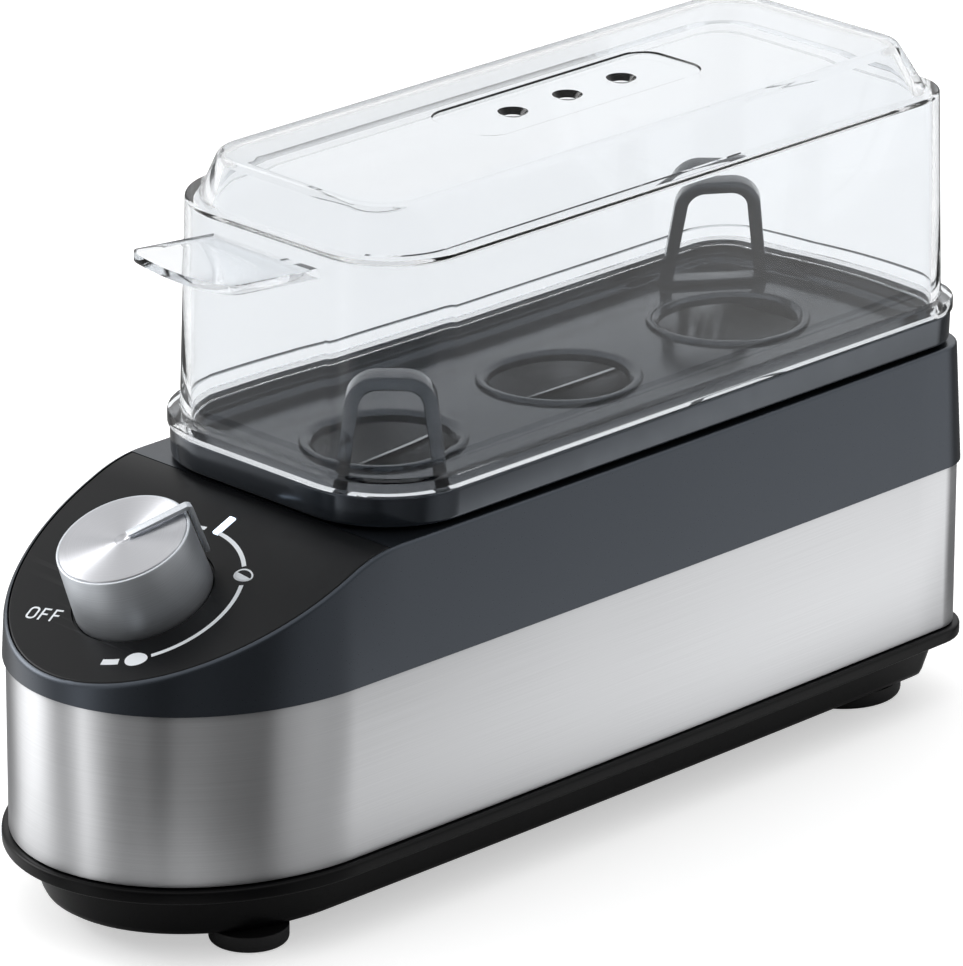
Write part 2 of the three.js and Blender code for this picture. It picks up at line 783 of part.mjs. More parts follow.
piece('knob_cap', turned([
  [0, capSeat],
  [capRadius, capSeat],
  [capRadius, capSeat + capThick - capProud / 2],
  [capRadius - capProud, capSeat + capThick],
  [capDimpleRadius, capSeat + capThick],
  [0, capSeat + capThick - capDimple],
]), finishes.spunMetal(), knob);

function pointerBar() {
  const seat = capSeat + capThick + fit;
  const foot = seat - pointerDrop;
  const radiusAt = (z) => THREE.MathUtils.lerp(knobRadius, knobTopRadius + knobEdge / 4, z / knobHeight) + fit;
  const side = new THREE.Shape([
    [capDimpleRadius, seat],
    [radiusAt(knobHeight), seat],
    [radiusAt(foot), foot],
    [radiusAt(foot) + pointerThick, foot],
    [radiusAt(knobHeight) + pointerThick, seat + pointerThick / 2],
    [radiusAt(knobHeight), seat + pointerThick],
    [capDimpleRadius, seat + pointerThick / 2],
  ].map(([r, z]) => new THREE.Vector2(r, z)));
  return new THREE.ExtrudeGeometry(side, { depth: pointerWidth, bevelEnabled: false })
    .rotateX(Math.PI / 2)
    .translate(0, pointerWidth / 2, 0);
}
piece('pointer_bar', pointerBar(), finishes.spunMetal(), knob);
const regulatorTop = slabUnderside - 2 * fit;
const spindleBottom = regulatorTop + 2 * fit;
piece('knob_spindle', spindle(spindleRadius, spindleBottom, spindleTop), finishes.zinc(), knob);

// Regulator under the panel, with the bush that its nut clamps
const bushTop = nutHeight - knobWellDepth + fit;
piece('regulator', join(
  block(-regulatorSize / 2, regulatorSize / 2, -regulatorSize / 2, regulatorSize / 2, boardTop + fit, regulatorTop),
  post(bushRadius, regulatorTop - root, bushTop),
).subtract(toSolid(post(spindleRadius + fit, regulatorTop + fit, bushTop + overrun))), finishes.component(), panelFrame);
piece('spindle_nut', toSolid(post(nutRadius, -bedDepth, bushTop - fit, 0, 0, 6))
  .subtract(toSolid(post(bushRadius + fit, -bedDepth - overrun, nutHeight + overrun))), finishes.zinc(), panelFrame);

// Light bar and its lamp
piece('indicator_lens', lensBlock(0, -lensDepth, lensProud), finishes.light(), panelFrame);
piece('indicator_led', post(ledRadius, boardTop + fit, -lensDepth - fit, lensMiddle, lensSide, smallSides),
  finishes.light(), panelFrame);

// Control board and what is soldered to it
const boardBottom = boardTop - boardThick;
piece('control_board', cut(
  toSolid(block(boardFront, boardRear, -boardHalf, boardHalf, boardBottom, boardTop)),
  ...boardPosts.map(([u, v]) => post(boardScrewRadius + fit, boardBottom - overrun, boardTop + overrun,
    u, v, smallSides)),
), finishes.board(), panelFrame);
boardPosts.forEach(([u, v], i) => {
  piece(`board_screw_${i + 1}`, screw(boardScrewRadius, boardScrewLength), finishes.zinc(), panelFrame)
    .position.set(u, v, boardBottom - fit);
});
piece('buzzer', post(buzzerRadius, boardTop + fit, slabUnderside - 2 * fit, buzzerU, buzzerV, smallSides),
  finishes.component(), panelFrame);
const underBoard = (u, v, length, width, height) => block(u - length / 2, u + length / 2, v - width / 2,
  v + width / 2, boardBottom - fit - height, boardBottom - fit);
piece('relay', underBoard(relayU, relayV, relayLength, relayWidth, relayHeight), finishes.relayBlue(), panelFrame);
piece('capacitor', post(capacitorRadius, boardBottom - fit - capacitorHeight, boardBottom - fit,
  capacitorU, capacitorV, smallSides), finishes.component(), panelFrame);
piece('terminal_block', underBoard(terminalU, terminalV, terminalLength, terminalWidth, terminalHeight),
  finishes.insulation(), panelFrame);

// Water dish, its seal and the heater below it
const dishFloorInset = dishDraft + dishRound;
piece('water_dish', shellOf(dishOutline, [
  [dishFloorInset, dishUnderside],
  [dishDraft, dishUnderside + dishRound],
  [0, dishFlangeBottom],
  [-dishFlange, dishFlangeBottom],
  [-dishFlange, dishFlangeTop],
  [dishSheet, dishFlangeTop],
  [dishDraft + dishSheet, dishUnderside + dishRound],
  [dishFloorInset + dishSheet / 2, dishUnderside + dishSheet],
]), finishes.brushedSteel());
const sealBottom = rebateFloor + fit;
piece('dish_seal', shellOf(dishOutline, [
  [-dishFlange + fit, sealBottom],
  [-dishFlange + fit, sealBottom + sealThick],
  [-dishFlange + fit + sealWidth, sealBottom + sealThick],
  [-dishFlange + fit + sealWidth, sealBottom],
], true), finishes.silicone());

const spreaderBottom = spreaderTop - spreaderThick;
const clampXs = [spreaderFront + clampInset, spreaderRear - clampInset];
const clampScrews = clampXs.flatMap((x) => [-clampScrewV, clampScrewV].map((y) => [x, y]));
const clampTop = elementZ - elementRadius - fit;
const clampScrewLength = spreaderBottom + spreaderThick / 2 - (clampTop - clampThick) + fit;
piece('heat_spreader', cut(
  toSolid(plate(oblong({
    front: spreaderFront,
    rear: spreaderRear,
    half: spreaderHalf,
    frontRadius: spreaderCorner,
    rearRadius: spreaderCorner,
  }), spreaderBottom, spreaderTop)),
  ...clampScrews.map(([x, y]) => post(clampScrewRadius + fit, spreaderBottom - overrun,
    spreaderBottom + spreaderThick / 2 + fit, x, y, screwSides)),
), finishes.aluminium());

// Hairpin of sheathed heating rod
class HairpinCurve extends THREE.Curve {
  getPoint(share, target = new THREE.Vector3()) {
    const straight = elementRearX - elementHalfWidth - elementFrontX;
    const bend = Math.PI * elementHalfWidth;
    const along = share * (2 * straight + bend);
    if (along < straight) return target.set(elementFrontX + along, -elementHalfWidth, elementZ);
    if (along > straight + bend) {
      return target.set(elementFrontX + 2 * straight + bend - along, elementHalfWidth, elementZ);
    }
    const angle = (along - straight) / elementHalfWidth;
    return target.set(
      elementFrontX + straight + elementHalfWidth * Math.sin(angle),
      -elementHalfWidth * Math.cos(angle),
      elementZ,
    );
  }
}
piece('heating_element', rod(new HairpinCurve(), elementRadius, hairpinSteps, hairpinSides), finishes.aluminium());

clampXs.forEach((x, i) => {
  const bar = block(x - clampLength / 2, x + clampLength / 2, -clampScrewV - clampLength / 2,
    clampScrewV + clampLength / 2, clampTop - clampThick, clampTop);
  const ways = [-clampScrewV, clampScrewV].map((y) =>
    post(clampScrewRadius + fit, clampTop - clampThick - overrun, clampTop + overrun, x, y, screwSides));
  piece(`element_clamp_${i + 1}`, cut(toSolid(bar), ...ways), finishes.zinc());
});
clampScrews.forEach(([x, y], i) => {
  piece(`clamp_screw_${i + 1}`, screw(clampScrewRadius, clampScrewLength), finishes.zinc())
    .position.set(x, y, clampTop - clampThick - fit);
});

const sensorTop = spreaderBottom - fit;
piece('thermostat', post(thermostatRadius, sensorTop - thermostatHeight, sensorTop, rowCentreX, 0, smallSides),
  finishes.insulation());
piece('thermal_fuse', new THREE.CylinderGeometry(fuseRadius, fuseRadius, fuseLength, screwSides)
  .rotateZ(Math.PI / 2).translate(fuseX, 0, sensorTop - fuseRadius), finishes.aluminium());

// Leads from the terminal block to the heater and the thermostat
const terminalRear = terminalU + terminalLength / 2 + fit;
const terminalMiddle = boardBottom - fit - terminalHeight / 2;
const fromTerminal = (v) => new THREE.Vector3(terminalRear, v, terminalMiddle).applyMatrix4(panelFrame.matrix);
const leadStraight = 3 * leadRadius;
function lead(name, v, end, endDirection, radius, ...via) {
  const start = fromTerminal(v);
  const out = new THREE.Vector3(1, 0, 0).applyEuler(panelFrame.rotation).multiplyScalar(leadStraight);
  const approach = end.clone().addScaledVector(endDirection, leadStraight);
  const route = [start, start.clone().add(out), ...via, approach, end];
  const curve = new THREE.CatmullRomCurve3(route, false, 'centripetal');
  piece(name, rod(curve, radius, leadSteps, leadSides), finishes.insulation());
}
const forward = new THREE.Vector3(-1, 0, 0);
lead('lead_live', terminalV - terminalWidth / 3, new THREE.Vector3(elementFrontX - fit, -elementHalfWidth, elementZ),
  forward, leadRadius);
lead('lead_neutral', terminalV + terminalWidth / 3, new THREE.Vector3(elementFrontX - fit, elementHalfWidth, elementZ),
  forward, leadRadius);
const fuseFront = new THREE.Vector3(fuseX - fuseLength / 2 - fit, 0, sensorTop - fuseRadius);
const underSpreader = new THREE.Vector3(spreaderFront, 0, fuseFront.z - 2 * sensorLeadRadius);
lead('lead_fuse', terminalV, fuseFront, forward, sensorLeadRadius, underSpreader);

// Egg tray: collar, stepped rim, floor with three seats and two handles
const seatXs = Array.from({ length: seatCount }, (_, i) => rowCentreX + (i - (seatCount - 1) / 2) * seatPitch);

// Handle standing square to the diagonal, drawn upright on its tenons and then turned
const handleHalf = handleWidth / 2;
const handleTopHalf = handleTopWidth / 2;
function placeHandle(geometry, side) {
  const centreX = side < 0 ? collarFront + handleFromFront : collarRear - handleFromFront;
  return geometry.rotateZ(-Math.PI / 4).translate(centreX, side * (collarHalf - handleFromSide), trayFloorTop + fit);
}

const handleLegs = (gap, bottom, top, side) => [-1, 1].map((leg) => {
  const x = leg * (handleHalf - handleBar / 2);
  const half = (handleBar - root) / 2 + gap;
  const depth = handleThick / 2 - root + gap;
  return placeHandle(block(x - half, x + half, -depth, depth, bottom, top), side);
});

function trayHandle(side) {
  const rise = handleRise - fit;
  const outer = new THREE.Shape();
  outer.moveTo(-handleHalf, 0);
  outer.lineTo(handleHalf, 0);
  outer.lineTo(handleTopHalf, rise - handleTopRadius);
  outer.absarc(handleTopHalf - handleTopRadius, rise - handleTopRadius, handleTopRadius, 0, Math.PI / 2, false);
  outer.absarc(handleTopRadius - handleTopHalf, rise - handleTopRadius, handleTopRadius, Math.PI / 2, Math.PI, false);
  outer.closePath();
  const gapFootHalf = handleHalf - handleBar;
  const gapHalf = handleTopHalf - handleBar;
  const gapRadius = handleTopRadius - handleBar;
  const gapTop = rise - handleBar;
  const inner = new THREE.Path();
  inner.moveTo(-gapFootHalf, handleBar / 2);
  inner.lineTo(-gapHalf, gapTop - gapRadius);
  inner.absarc(gapRadius - gapHalf, gapTop - gapRadius, gapRadius, Math.PI, Math.PI / 2, true);
  inner.absarc(gapHalf - gapRadius, gapTop - gapRadius, gapRadius, Math.PI / 2, 0, true);
  inner.lineTo(gapFootHalf, handleBar / 2);
  inner.closePath();
  outer.holes.push(inner);
  const frame = new THREE.ExtrudeGeometry(outer, { depth: handleThick, bevelEnabled: false, curveSegments: cornerSteps })
    .translate(0, 0, -handleThick / 2)
    .rotateX(Math.PI / 2);
  return join(placeHandle(frame, side), ...handleLegs(0, -handleTenon - fit, handleBar / 2, side));
}

function eggTray() {
  const rimInner = rimWidth;
  const tub = shellOf(collarOutline, [
    [rimInner + trayLedgeWidth, trayUnderside],
    [collarRound, collarBottom],
    [collarRound / 6, collarBottom + collarRound],
    [0, collarTop - collarRound / 3],
    [collarRound / 3, collarTop],
    [rimInner, collarTop],
    [rimInner, collarTop - trayLedgeDrop],
    [rimInner + trayLedgeWidth, collarTop - trayLedgeDrop],
    [rimInner + trayLedgeWidth + trayLedgeDraft, trayFloorTop],
  ]);
  const skirt = shellOf(dishOutline, [
    [dishSheet + 2 * fit, trayUnderside - traySkirtDrop],
    [dishSheet + 2 * fit, trayUnderside + root],
    [dishSheet + 2 * fit + traySkirt, trayUnderside + root],
    [dishSheet + 2 * fit + traySkirt, trayUnderside - traySkirtDrop],
  ], true);
  const lips = seatXs.map((x) => post(seatRadius + seatLip, trayFloorTop - root, trayFloorTop + seatLipHeight,
    x, 0, roundSides));
  const seats = seatXs.map((x) => post(seatRadius - seatLipHeight, trayUnderside - overrun,
    trayFloorTop + seatLipHeight + overrun, x, 0, roundSides, seatRadius + seatLipHeight / 2));
  const sockets = [-1, 1].flatMap((side) => handleLegs(fit, -handleTenon - 2 * fit, overrun, side));
  return cut(join(tub, skirt, ...lips), ...seats, ...sockets);
}
piece('egg_tray', eggTray(), finishes.trayPlastic());
piece('tray_handle_near', trayHandle(-1), finishes.trayPlastic());
piece('tray_handle_far', trayHandle(1), finishes.trayPlastic());

// Lid: spigot, brim, leaning wall, rounded shoulder, raised top with three steam holes, front tab
const brimBottom = collarTop + fit;
const brimTop = brimBottom + brimHeight;
const spigotInset = rimWidth + fit;
const shoulderTop = lidShoulderZ + shoulderRound;
const shoulderRadii = { front: collarFrontRadius - lidShoulderSide, rear: collarRearRadius };
const topRadii = { front: lidTopFrontRadius, rear: lidTopRearRadius };

const lidRing = (z, side, front, rear, radii) => lift(collarOutline(side, front, rear, radii), z);
// Ring that lies between the shoulder's inner edge and the top's edge, drawn in by extra
function lidRise(share, extra, z) {
  const mix = THREE.MathUtils.lerp;
  const step = shoulderRound + shoulderLedge;
  return lidRing(z,
    mix(lidShoulderSide + step, lidTopSide, share) + extra,
    mix(lidShoulderFront + step, lidTopFront, share) + extra,
    mix(lidShoulderRear + step, lidTopRear, share) + extra,
    {
      front: mix(shoulderRadii.front - step, topRadii.front, share),
      rear: mix(shoulderRadii.rear - step, topRadii.rear, share),
    });
}
// Ring of the leaning wall between its foot and the shoulder
function lidSide(share, extra, z) {
  const mix = THREE.MathUtils.lerp;
  return lidRing(z,
    mix(lidFootSide, lidShoulderSide, share) + extra,
    mix(lidFootFront, lidShoulderFront, share) + extra,
    mix(lidFootRear, lidShoulderRear, share) + extra,
    { front: shoulderRadii.front - extra, rear: shoulderRadii.rear - extra });
}

const tabHalfAt = (out) => (out <= tabReach - tabCorner
  ? tabHalfWidth
  : tabHalfWidth - tabCorner + Math.sqrt(Math.max(tabCorner ** 2 - (out - tabReach + tabCorner) ** 2, 0)));

function lidTab() {
  const wallX = collarFront + lidShoulderFront;
  const rootZ = lidShoulderZ - tabBelowShoulder;
  const across = 8;
  const cornerOuts = Array.from({ length: cornerSteps }, (_, i) =>
    tabReach - tabCorner + tabCorner * Math.sin(((i + 1) / cornerSteps) * (Math.PI / 2)));
  const outs = [-lidWall / 2, tabReach / 3, (tabReach * 2) / 3, tabReach - tabCorner, ...cornerOuts];
  const rings = outs.map((out) => {
    const half = tabHalfAt(out);
    const surface = (i, below) => {
      const v = THREE.MathUtils.lerp(-half, half, i / across);
      const sag = tabDish * (1 - (v / tabHalfWidth) ** 2) * Math.max(out / tabReach, 0);
      return new THREE.Vector3(wallX - out, v, rootZ + tabLift * (out / tabReach) - sag - below);
    };
    const upper = Array.from({ length: across + 1 }, (_, i) => surface(i, 0));
    const lower = Array.from({ length: across + 1 }, (_, i) => surface(across - i, tabThick));
    return [...upper, ...lower];
  });
  return loft(rings);
}

function lidBody() {
  const shell = loft([
    lidRise(1, lidTopRound + lidWall, lidTopZ - lidWall),
    lidRise(1, lidWall / 2, lidTopZ - lidTopDrop - lidWall),
    lidRise(0, lidWall, shoulderTop - lidWall),
    lidSide(1, lidWall, lidShoulderZ - lidWall),
    lidSide(0, lidWall, brimTop),
    lidRing(brimBottom - spigotDrop, spigotInset + lidWall, spigotInset + lidWall, spigotInset + lidWall),
    lidRing(brimBottom - spigotDrop, spigotInset, spigotInset, spigotInset),
    lidRing(brimBottom, spigotInset, spigotInset, spigotInset),
    lidRing(brimBottom, -brimReach, -brimReach, -brimReach),
    lidRing(brimTop - brimRound, -brimReach, -brimReach, -brimReach),
    lidRing(brimTop, -brimReach + brimRound, -brimReach + brimRound, -brimReach + brimRound),
    lidSide(0, 0, brimTop),
    lidSide(1, 0, lidShoulderZ),
    lidSide(1, shoulderRound * (1 - Math.SQRT1_2), lidShoulderZ + shoulderRound * Math.SQRT1_2),
    lidSide(1, shoulderRound, shoulderTop),
    lidRise(0, 0, shoulderTop),
    lidRise(1, 0, lidTopZ - lidTopDrop),
    lidRise(1, lidTopRound / 3, lidTopZ - lidTopDrop / 3),
    lidRise(1, lidTopRound, lidTopZ),
  ]);
  const recess = plate(oblong({
    front: rowCentreX + steamShift - recessLength / 2,
    rear: rowCentreX + steamShift + recessLength / 2,
    half: recessWidth / 2,
    frontRadius: recessCorner,
    rearRadius: recessCorner,
  }), lidTopZ - recessDepth, lidTopZ + overrun);
  const holes = Array.from({ length: steamCount }, (_, i) => {
    const x = rowCentreX + steamShift + (i - (steamCount - 1) / 2) * steamPitch;
    return [
      post(steamHoleRadius, lidTopZ - lidWall - overrun, lidTopZ + overrun, x, 0, smallSides),
      post(steamHoleRadius, lidTopZ - recessDepth - steamSink / 2, lidTopZ + overrun, x, 0, smallSides,
        steamHoleRadius + steamSink),
    ];
  });
  return cut(join(shell, lidTab()), recess, ...holes.flat());
}
piece('lid', lidBody(), finishes.clear());

export default boiler;
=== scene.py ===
"""Electric egg boiler for three eggs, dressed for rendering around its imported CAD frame.

Sizes are in millimetres and in the CAD's frame: the origin is on the table under the middle, +X runs to
the rear, +Y to the far side, +Z up. Meshes are written in metres. The third value of a profile's corner is the
radius of its rounding.
"""

import logging
import math
from collections.abc import Callable, Iterable, Sequence
from dataclasses import dataclass, field
from enum import Enum

import bmesh
import bpy
from bpy.types import ID, Curve, Material, Mesh, Node, NodeSocket, NodeTree, Object, World
from mathutils import Matrix, Vector


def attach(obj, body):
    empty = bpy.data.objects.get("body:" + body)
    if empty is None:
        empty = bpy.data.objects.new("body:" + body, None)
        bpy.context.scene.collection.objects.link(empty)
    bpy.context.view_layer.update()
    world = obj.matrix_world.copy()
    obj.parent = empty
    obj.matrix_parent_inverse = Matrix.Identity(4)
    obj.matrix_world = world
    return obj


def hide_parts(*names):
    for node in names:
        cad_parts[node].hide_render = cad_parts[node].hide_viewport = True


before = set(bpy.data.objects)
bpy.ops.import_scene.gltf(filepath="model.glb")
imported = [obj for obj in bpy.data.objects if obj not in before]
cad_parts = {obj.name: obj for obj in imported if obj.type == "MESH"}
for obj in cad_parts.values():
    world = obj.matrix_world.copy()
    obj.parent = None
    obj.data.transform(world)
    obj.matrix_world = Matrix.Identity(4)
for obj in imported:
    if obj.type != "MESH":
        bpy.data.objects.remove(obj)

log = logging.getLogger("egg_boiler")

# One millimetre in Blender's metres.
MM = 0.001
# Gap between two pieces that fit into each other, in millimetres.
FIT = 0.3
# How far a cutter passes the surface that it opens, in millimetres.
PAST = 1.0
# Smallest corner radius of an outline that is drawn in, in millimetres.
LEAST_RADIUS = 0.3
# Share of a full turn that lays a highlight across the grooves of a brushed or turned metal.
ACROSS_GRAIN = 0.25

Pair = tuple[float, float]
Corner = tuple[float, float, float]
Outline = list[Pair]
Ring = list[Vector]
TreeMaker = Callable[[NodeTree, Node], NodeSocket]


class Body(Enum):
    """Bodies of the frame that a piece can ride on."""

    BASE = "base"
    KNOB = "knob"
    TRAY = "tray"
    LID = "lid"


class Cap(Enum):
    """How the two ends of a loft are closed."""

    FLAT = "one flat face at each end"
    STRIPS = "strips from the near side to the far side"
    LOOP = "the last ring joins the first"


class Cut(Enum):
    """What one solid does to another."""

    AWAY = "DIFFERENCE"
    JOIN = "UNION"


def linear(colour: str) -> tuple[float, float, float, float]:
    """Turns an sRGB hex colour into linear values.

    Args:
        colour: colour such as "#3d4148".

    Returns:
        Linear red, green and blue, and full alpha.
    """
    shares = [int(colour[i : i + 2], 16) / 255 for i in (1, 3, 5)]
    red, green, blue = (s / 12.92 if s <= 0.04045 else ((s + 0.055) / 1.055) ** 2.4 for s in shares)
    return red, green, blue, 1.0


def add(tree: NodeTree, kind: str, inputs: dict | None = None, **settings: object) -> Node:
    """Adds a node to a tree, with its settings, values and links.

    Args:
        tree: tree that gets the node.
        kind: Blender's name of the node's type.
        inputs: input name or number to a value or to the output socket that feeds it.
        settings: the node's own properties.

    Returns:
        The new node.
    """
    made = tree.nodes.new(kind)
    for key, value in settings.items():
        setattr(made, key, value)
    for key, value in (inputs or {}).items():
        socket = made.inputs[key]
        if isinstance(value, NodeSocket):
            tree.links.new(value, socket)
        else:
            socket.default_value = value
    return made


def soften(corners: Sequence[Corner], steps: int = 4, closed: bool = True) -> list[Pair]:
    """Rounds the corners of a profile, each by its own radius.

    Args:
        corners: across, height and radius of each corner.
        steps: spans in each rounding.
        closed: whether the last corner joins the first.

    Returns:
        Points of the rounded profile.
    """
    points: list[Pair] = []
    count = len(corners)
    for i, (x, z, radius) in enumerate(corners):
        here = Vector((x, z))
        at_end = not closed and i in (0, count - 1)
        if radius <= 0 or at_end:
            points.append((x, z))
            continue
        back = Vector(corners[i - 1][:2]) - here
        ahead = Vector(corners[(i + 1) % count][:2]) - here
        reach = min(radius / max(math.tan(back.angle(ahead) / 2), 0.05), 0.48 * back.length, 0.48 * ahead.length)
        start, end = here + back.normalized() * reach, here + ahead.normalized() * reach
        for k in range(steps + 1):
            t = k / steps
            point = start * (1 - t) ** 2 + here * 2 * t * (1 - t) + end * t**2
            points.append((point.x, point.y))
    return points


def lerp(a: float, b: float, share: float) -> float:
    """Returns the value at a share of the way from a to b."""
    return a + (b - a) * share


def raised(outline: Outline, z: float) -> Ring:
    """Returns an outline as a ring of points at one height."""
    return [Vector((x, y, z)) for x, y in outline]


def placed(name: str, data: ID) -> Object:
    """Puts a new object into the scene.

    Args:
        name: name of the object.
        data: what it shows.

    Returns:
        The object.
    """
    made = bpy.data.objects.new(name, data)
    bpy.context.scene.collection.objects.link(made)
    return made


def face_outwards(mesh: Mesh, merge: float = 0.0) -> None:
    """Points the faces of a closed mesh outwards.

    Args:
        mesh: the mesh.
        merge: distance in metres under which points are merged first.
    """
    work = bmesh.new()
    work.from_mesh(mesh)
    if merge:
        bmesh.ops.remove_doubles(work, verts=work.verts, dist=merge)
    bmesh.ops.recalc_face_normals(work, faces=work.faces)
    work.to_mesh(mesh)
    work.free()


@dataclass
class Shape:
    """Mesh in the making, in millimetres."""

    points: list[Vector] = field(default_factory=list)
    faces: list[list[int]] = field(default_factory=list)

    def loft(self, rings: Sequence[Ring], cap: Cap = Cap.FLAT) -> "Shape":
        """Adds a closed skin through rings of as many points each.

        Args:
            rings: rings from one end to the other.
            cap: how the ends are closed.

        Returns:
            This shape.
        """
        count, first = len(rings[0]), len(self.points)
        for ring in rings:
            self.points.extend(Vector(p) for p in ring)
        spans = len(rings) if cap is Cap.LOOP else len(rings) - 1
        for r in range(spans):
            here, there = first + r * count, first + ((r + 1) % len(rings)) * count
            for i in range(count):
                j = (i + 1) % count
                self.faces.append([here + i, here + j, there + j, there + i])
        if cap is Cap.LOOP:
            return self
        for start, turn in ((first, -1), (first + (len(rings) - 1) * count, 1)):
            if cap is Cap.FLAT:
                self.faces.append([start + i for i in range(count)][::turn])
                continue
            self.faces.append([start, start + 1, start + count - 1][::turn])
            for i in range(1, (count - 1) // 2):
                self.faces.append([start + i, start + i + 1, start + count - i - 1, start + count - i][::turn])
        return self

    def turned(self, profile: Sequence[Pair], sides: int = 64, closed: bool = False) -> "Shape":
        """Adds a body of revolution about Z.

        Args:
            profile: radius and height pairs; an open profile starts and ends on the axis.
            sides: faces round the axis.
            closed: whether the profile is a loop off the axis.

        Returns:
            This shape.
        """
        rows: list[list[int]] = []
        for radius, z in profile:
            if radius <= 1e-6:
                rows.append([len(self.points)] * sides)
                self.points.append(Vector((0, 0, z)))
                continue
            rows.append(list(range(len(self.points), len(self.points) + sides)))
            for i in range(sides):
                angle = 2 * math.pi * i / sides
                self.points.append(Vector((radius * math.cos(angle), radius * math.sin(angle), z)))
        spans = len(rows) if closed else len(rows) - 1
        for r in range(spans):
            low, high = rows[r], rows[(r + 1) % len(rows)]
            for i in range(sides):
                j = (i + 1) % sides
                face = list(dict.fromkeys([low[i], low[j], high[j], high[i]]))
                if len(face) > 2:
                    self.faces.append(face)
        return self

    def moved(self, matrix: Matrix) -> "Shape":
        """Returns this shape with its points carried by a matrix."""
        self.points = [matrix @ p for p in self.points]
        return self

    def to_object(self, name: str) -> Object:
        """Makes the shape an object of the scene, its faces outwards.

        Args:
            name: name of the object.

        Returns:
            The object, at the origin.
        """
        mesh = bpy.data.meshes.new(name)
        mesh.from_pydata([p * MM for p in self.points], [], self.faces)
        face_outwards(mesh, 0.002 * MM)
        return placed(name, mesh)


def prism(outline: Outline, low: float, high: float) -> Shape:
    """Returns an upright solid over an outline, between two heights."""
    return Shape().loft([raised(outline, low), raised(outline, high)])


def block(x0: float, x1: float, y0: float, y1: float, z0: float, z1: float) -> Shape:
    """Returns a box between its faces."""
    return prism([(x0, y0), (x1, y0), (x1, y1), (x0, y1)], z0, z1)


def pin(radius: float, low: float, high: float, sides: int = 32) -> Shape:
    """Returns a round pin about Z, between two heights."""
    return Shape().turned([(0, low), (radius, low), (radius, high), (0, high)], sides)


def bake(thing: Object) -> Object:
    """Turns an object with its modifiers into a plain mesh.

    Args:
        thing: object whose modifiers are worked out and removed.

    Returns:
        The same object.
    """
    graph = bpy.context.evaluated_depsgraph_get()
    mesh = bpy.data.meshes.new_from_object(thing.evaluated_get(graph))
    thing.modifiers.clear()
    old, thing.data = thing.data, mesh
    if isinstance(old, Mesh):
        bpy.data.meshes.remove(old)
    return thing


def work_on(thing: Object, cut: Cut, *tools: Object) -> Object:
    """Cuts tools out of a solid or joins them to it, and deletes the tools.

    Args:
        thing: the solid.
        cut: what the tools do.
        tools: closed solids.

    Returns:
        The worked solid.
    """
    for tool in tools:
        modifier = thing.modifiers.new(cut.name, "BOOLEAN")
        modifier.operation = cut.value
        modifier.solver = "EXACT"
        modifier.object = tool
    bake(thing)
    for tool in tools:
        drop(tool)
    return thing


def drop(thing: Object) -> None:
    """Deletes an object that only helped to make another.

    Args:
        thing: the object.
    """
    data = thing.data
    bpy.data.objects.remove(thing)
    if isinstance(data, Mesh):
        bpy.data.meshes.remove(data)
    elif isinstance(data, Curve):
        bpy.data.curves.remove(data)


def ease_edges(thing: Object, width: float, segments: int = 2, degrees: float = 40) -> Object:
    """Rounds the sharp edges of a finished solid.

    Args:
        thing: the solid.
        width: width of the rounding in millimetres.
        segments: spans in the rounding.
        degrees: angle past which an edge is rounded.

    Returns:
        The same object.
    """
    bevel = thing.modifiers.new("edges", "BEVEL")
    bevel.width = width * MM
    bevel.segments = segments
    bevel.limit_method = "ANGLE"
    bevel.angle_limit = math.radians(degrees)
    bevel.use_clamp_overlap = True
    return bake(thing)


def dress(thing: Object, material: Material, body: Body,
          nodes: Iterable[str] = (), degrees: float = 32) -> Object:
    """Finishes a piece: material, shading, body, slot and the nodes that it stands for.

    Args:
        thing: the piece.
        material: its finish.
        body: the body that it rides on.
        nodes: CAD nodes that it replaces.
        degrees: angle past which an edge is drawn sharp.

    Returns:
        The piece.
    """
    mesh = thing.data
    mesh.materials.clear()
    mesh.materials.append(material)
    mesh.polygons.foreach_set("material_index", [0] * len(mesh.polygons))
    mesh.polygons.foreach_set("use_smooth", [True] * len(mesh.polygons))
    mesh.set_sharp_from_angle(angle=math.radians(degrees))
    mesh.update()
    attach(thing, body.value)
    if nodes:
        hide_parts(*nodes)
    log.info("%s rides on %s with %d faces", thing.name, body.value, len(mesh.polygons))
    return thing


def empty_tree(owner: Material | World) -> NodeTree:
    """Returns the node tree of a material or a world, emptied.

    Args:
        owner: the material or the world.

    Returns:
        The tree.
    """
    owner.use_nodes = True
    owner.node_tree.nodes.clear()
    return owner.node_tree


def shade_tree(name: str, inputs: dict[str, object]) -> tuple[Material, NodeTree, Node]:
    """Makes a material with its principled shader.

    Args:
        name: name of the material.
        inputs: the shader's values that are the same all over the surface.

    Returns:
        The material, its tree and the shader's node.
    """
    material = bpy.data.materials.new(name)
    tree = empty_tree(material)
    shader = add(tree, "ShaderNodeBsdfPrincipled", inputs)
    add(tree, "ShaderNodeOutputMaterial", {"Surface": shader.outputs["BSDF"]})
    return material, tree, shader


def object_noise(tree: NodeTree, sizes: Corner, detail: float = 2.0) -> NodeSocket:
    """Adds noise on object coordinates whose grain has its own size along each axis.

    Args:
        tree: tree that gets the nodes.
        sizes: grain along X, Y and Z in millimetres.
        detail: octaves of finer grain.

    Returns:
        The noise's value, near 0.5 on average.
    """
    place = add(tree, "ShaderNodeTexCoord")
    scale = add(tree, "ShaderNodeMapping", {
        "Vector": place.outputs["Object"], "Scale": tuple(1 / (s * MM) for s in sizes)})
    return add(tree, "ShaderNodeTexNoise", {
        "Vector": scale.outputs["Vector"], "Scale": 1.0, "Detail": detail}).outputs["Fac"]


@dataclass(frozen=True)
class Finish:
    """A finish of the boiler, named for its real material."""

    name: str
    colour: str

    def build(self) -> Material:
        """Returns the material with its nodes; each kind of finish has its own."""
        raise NotImplementedError(self.name)


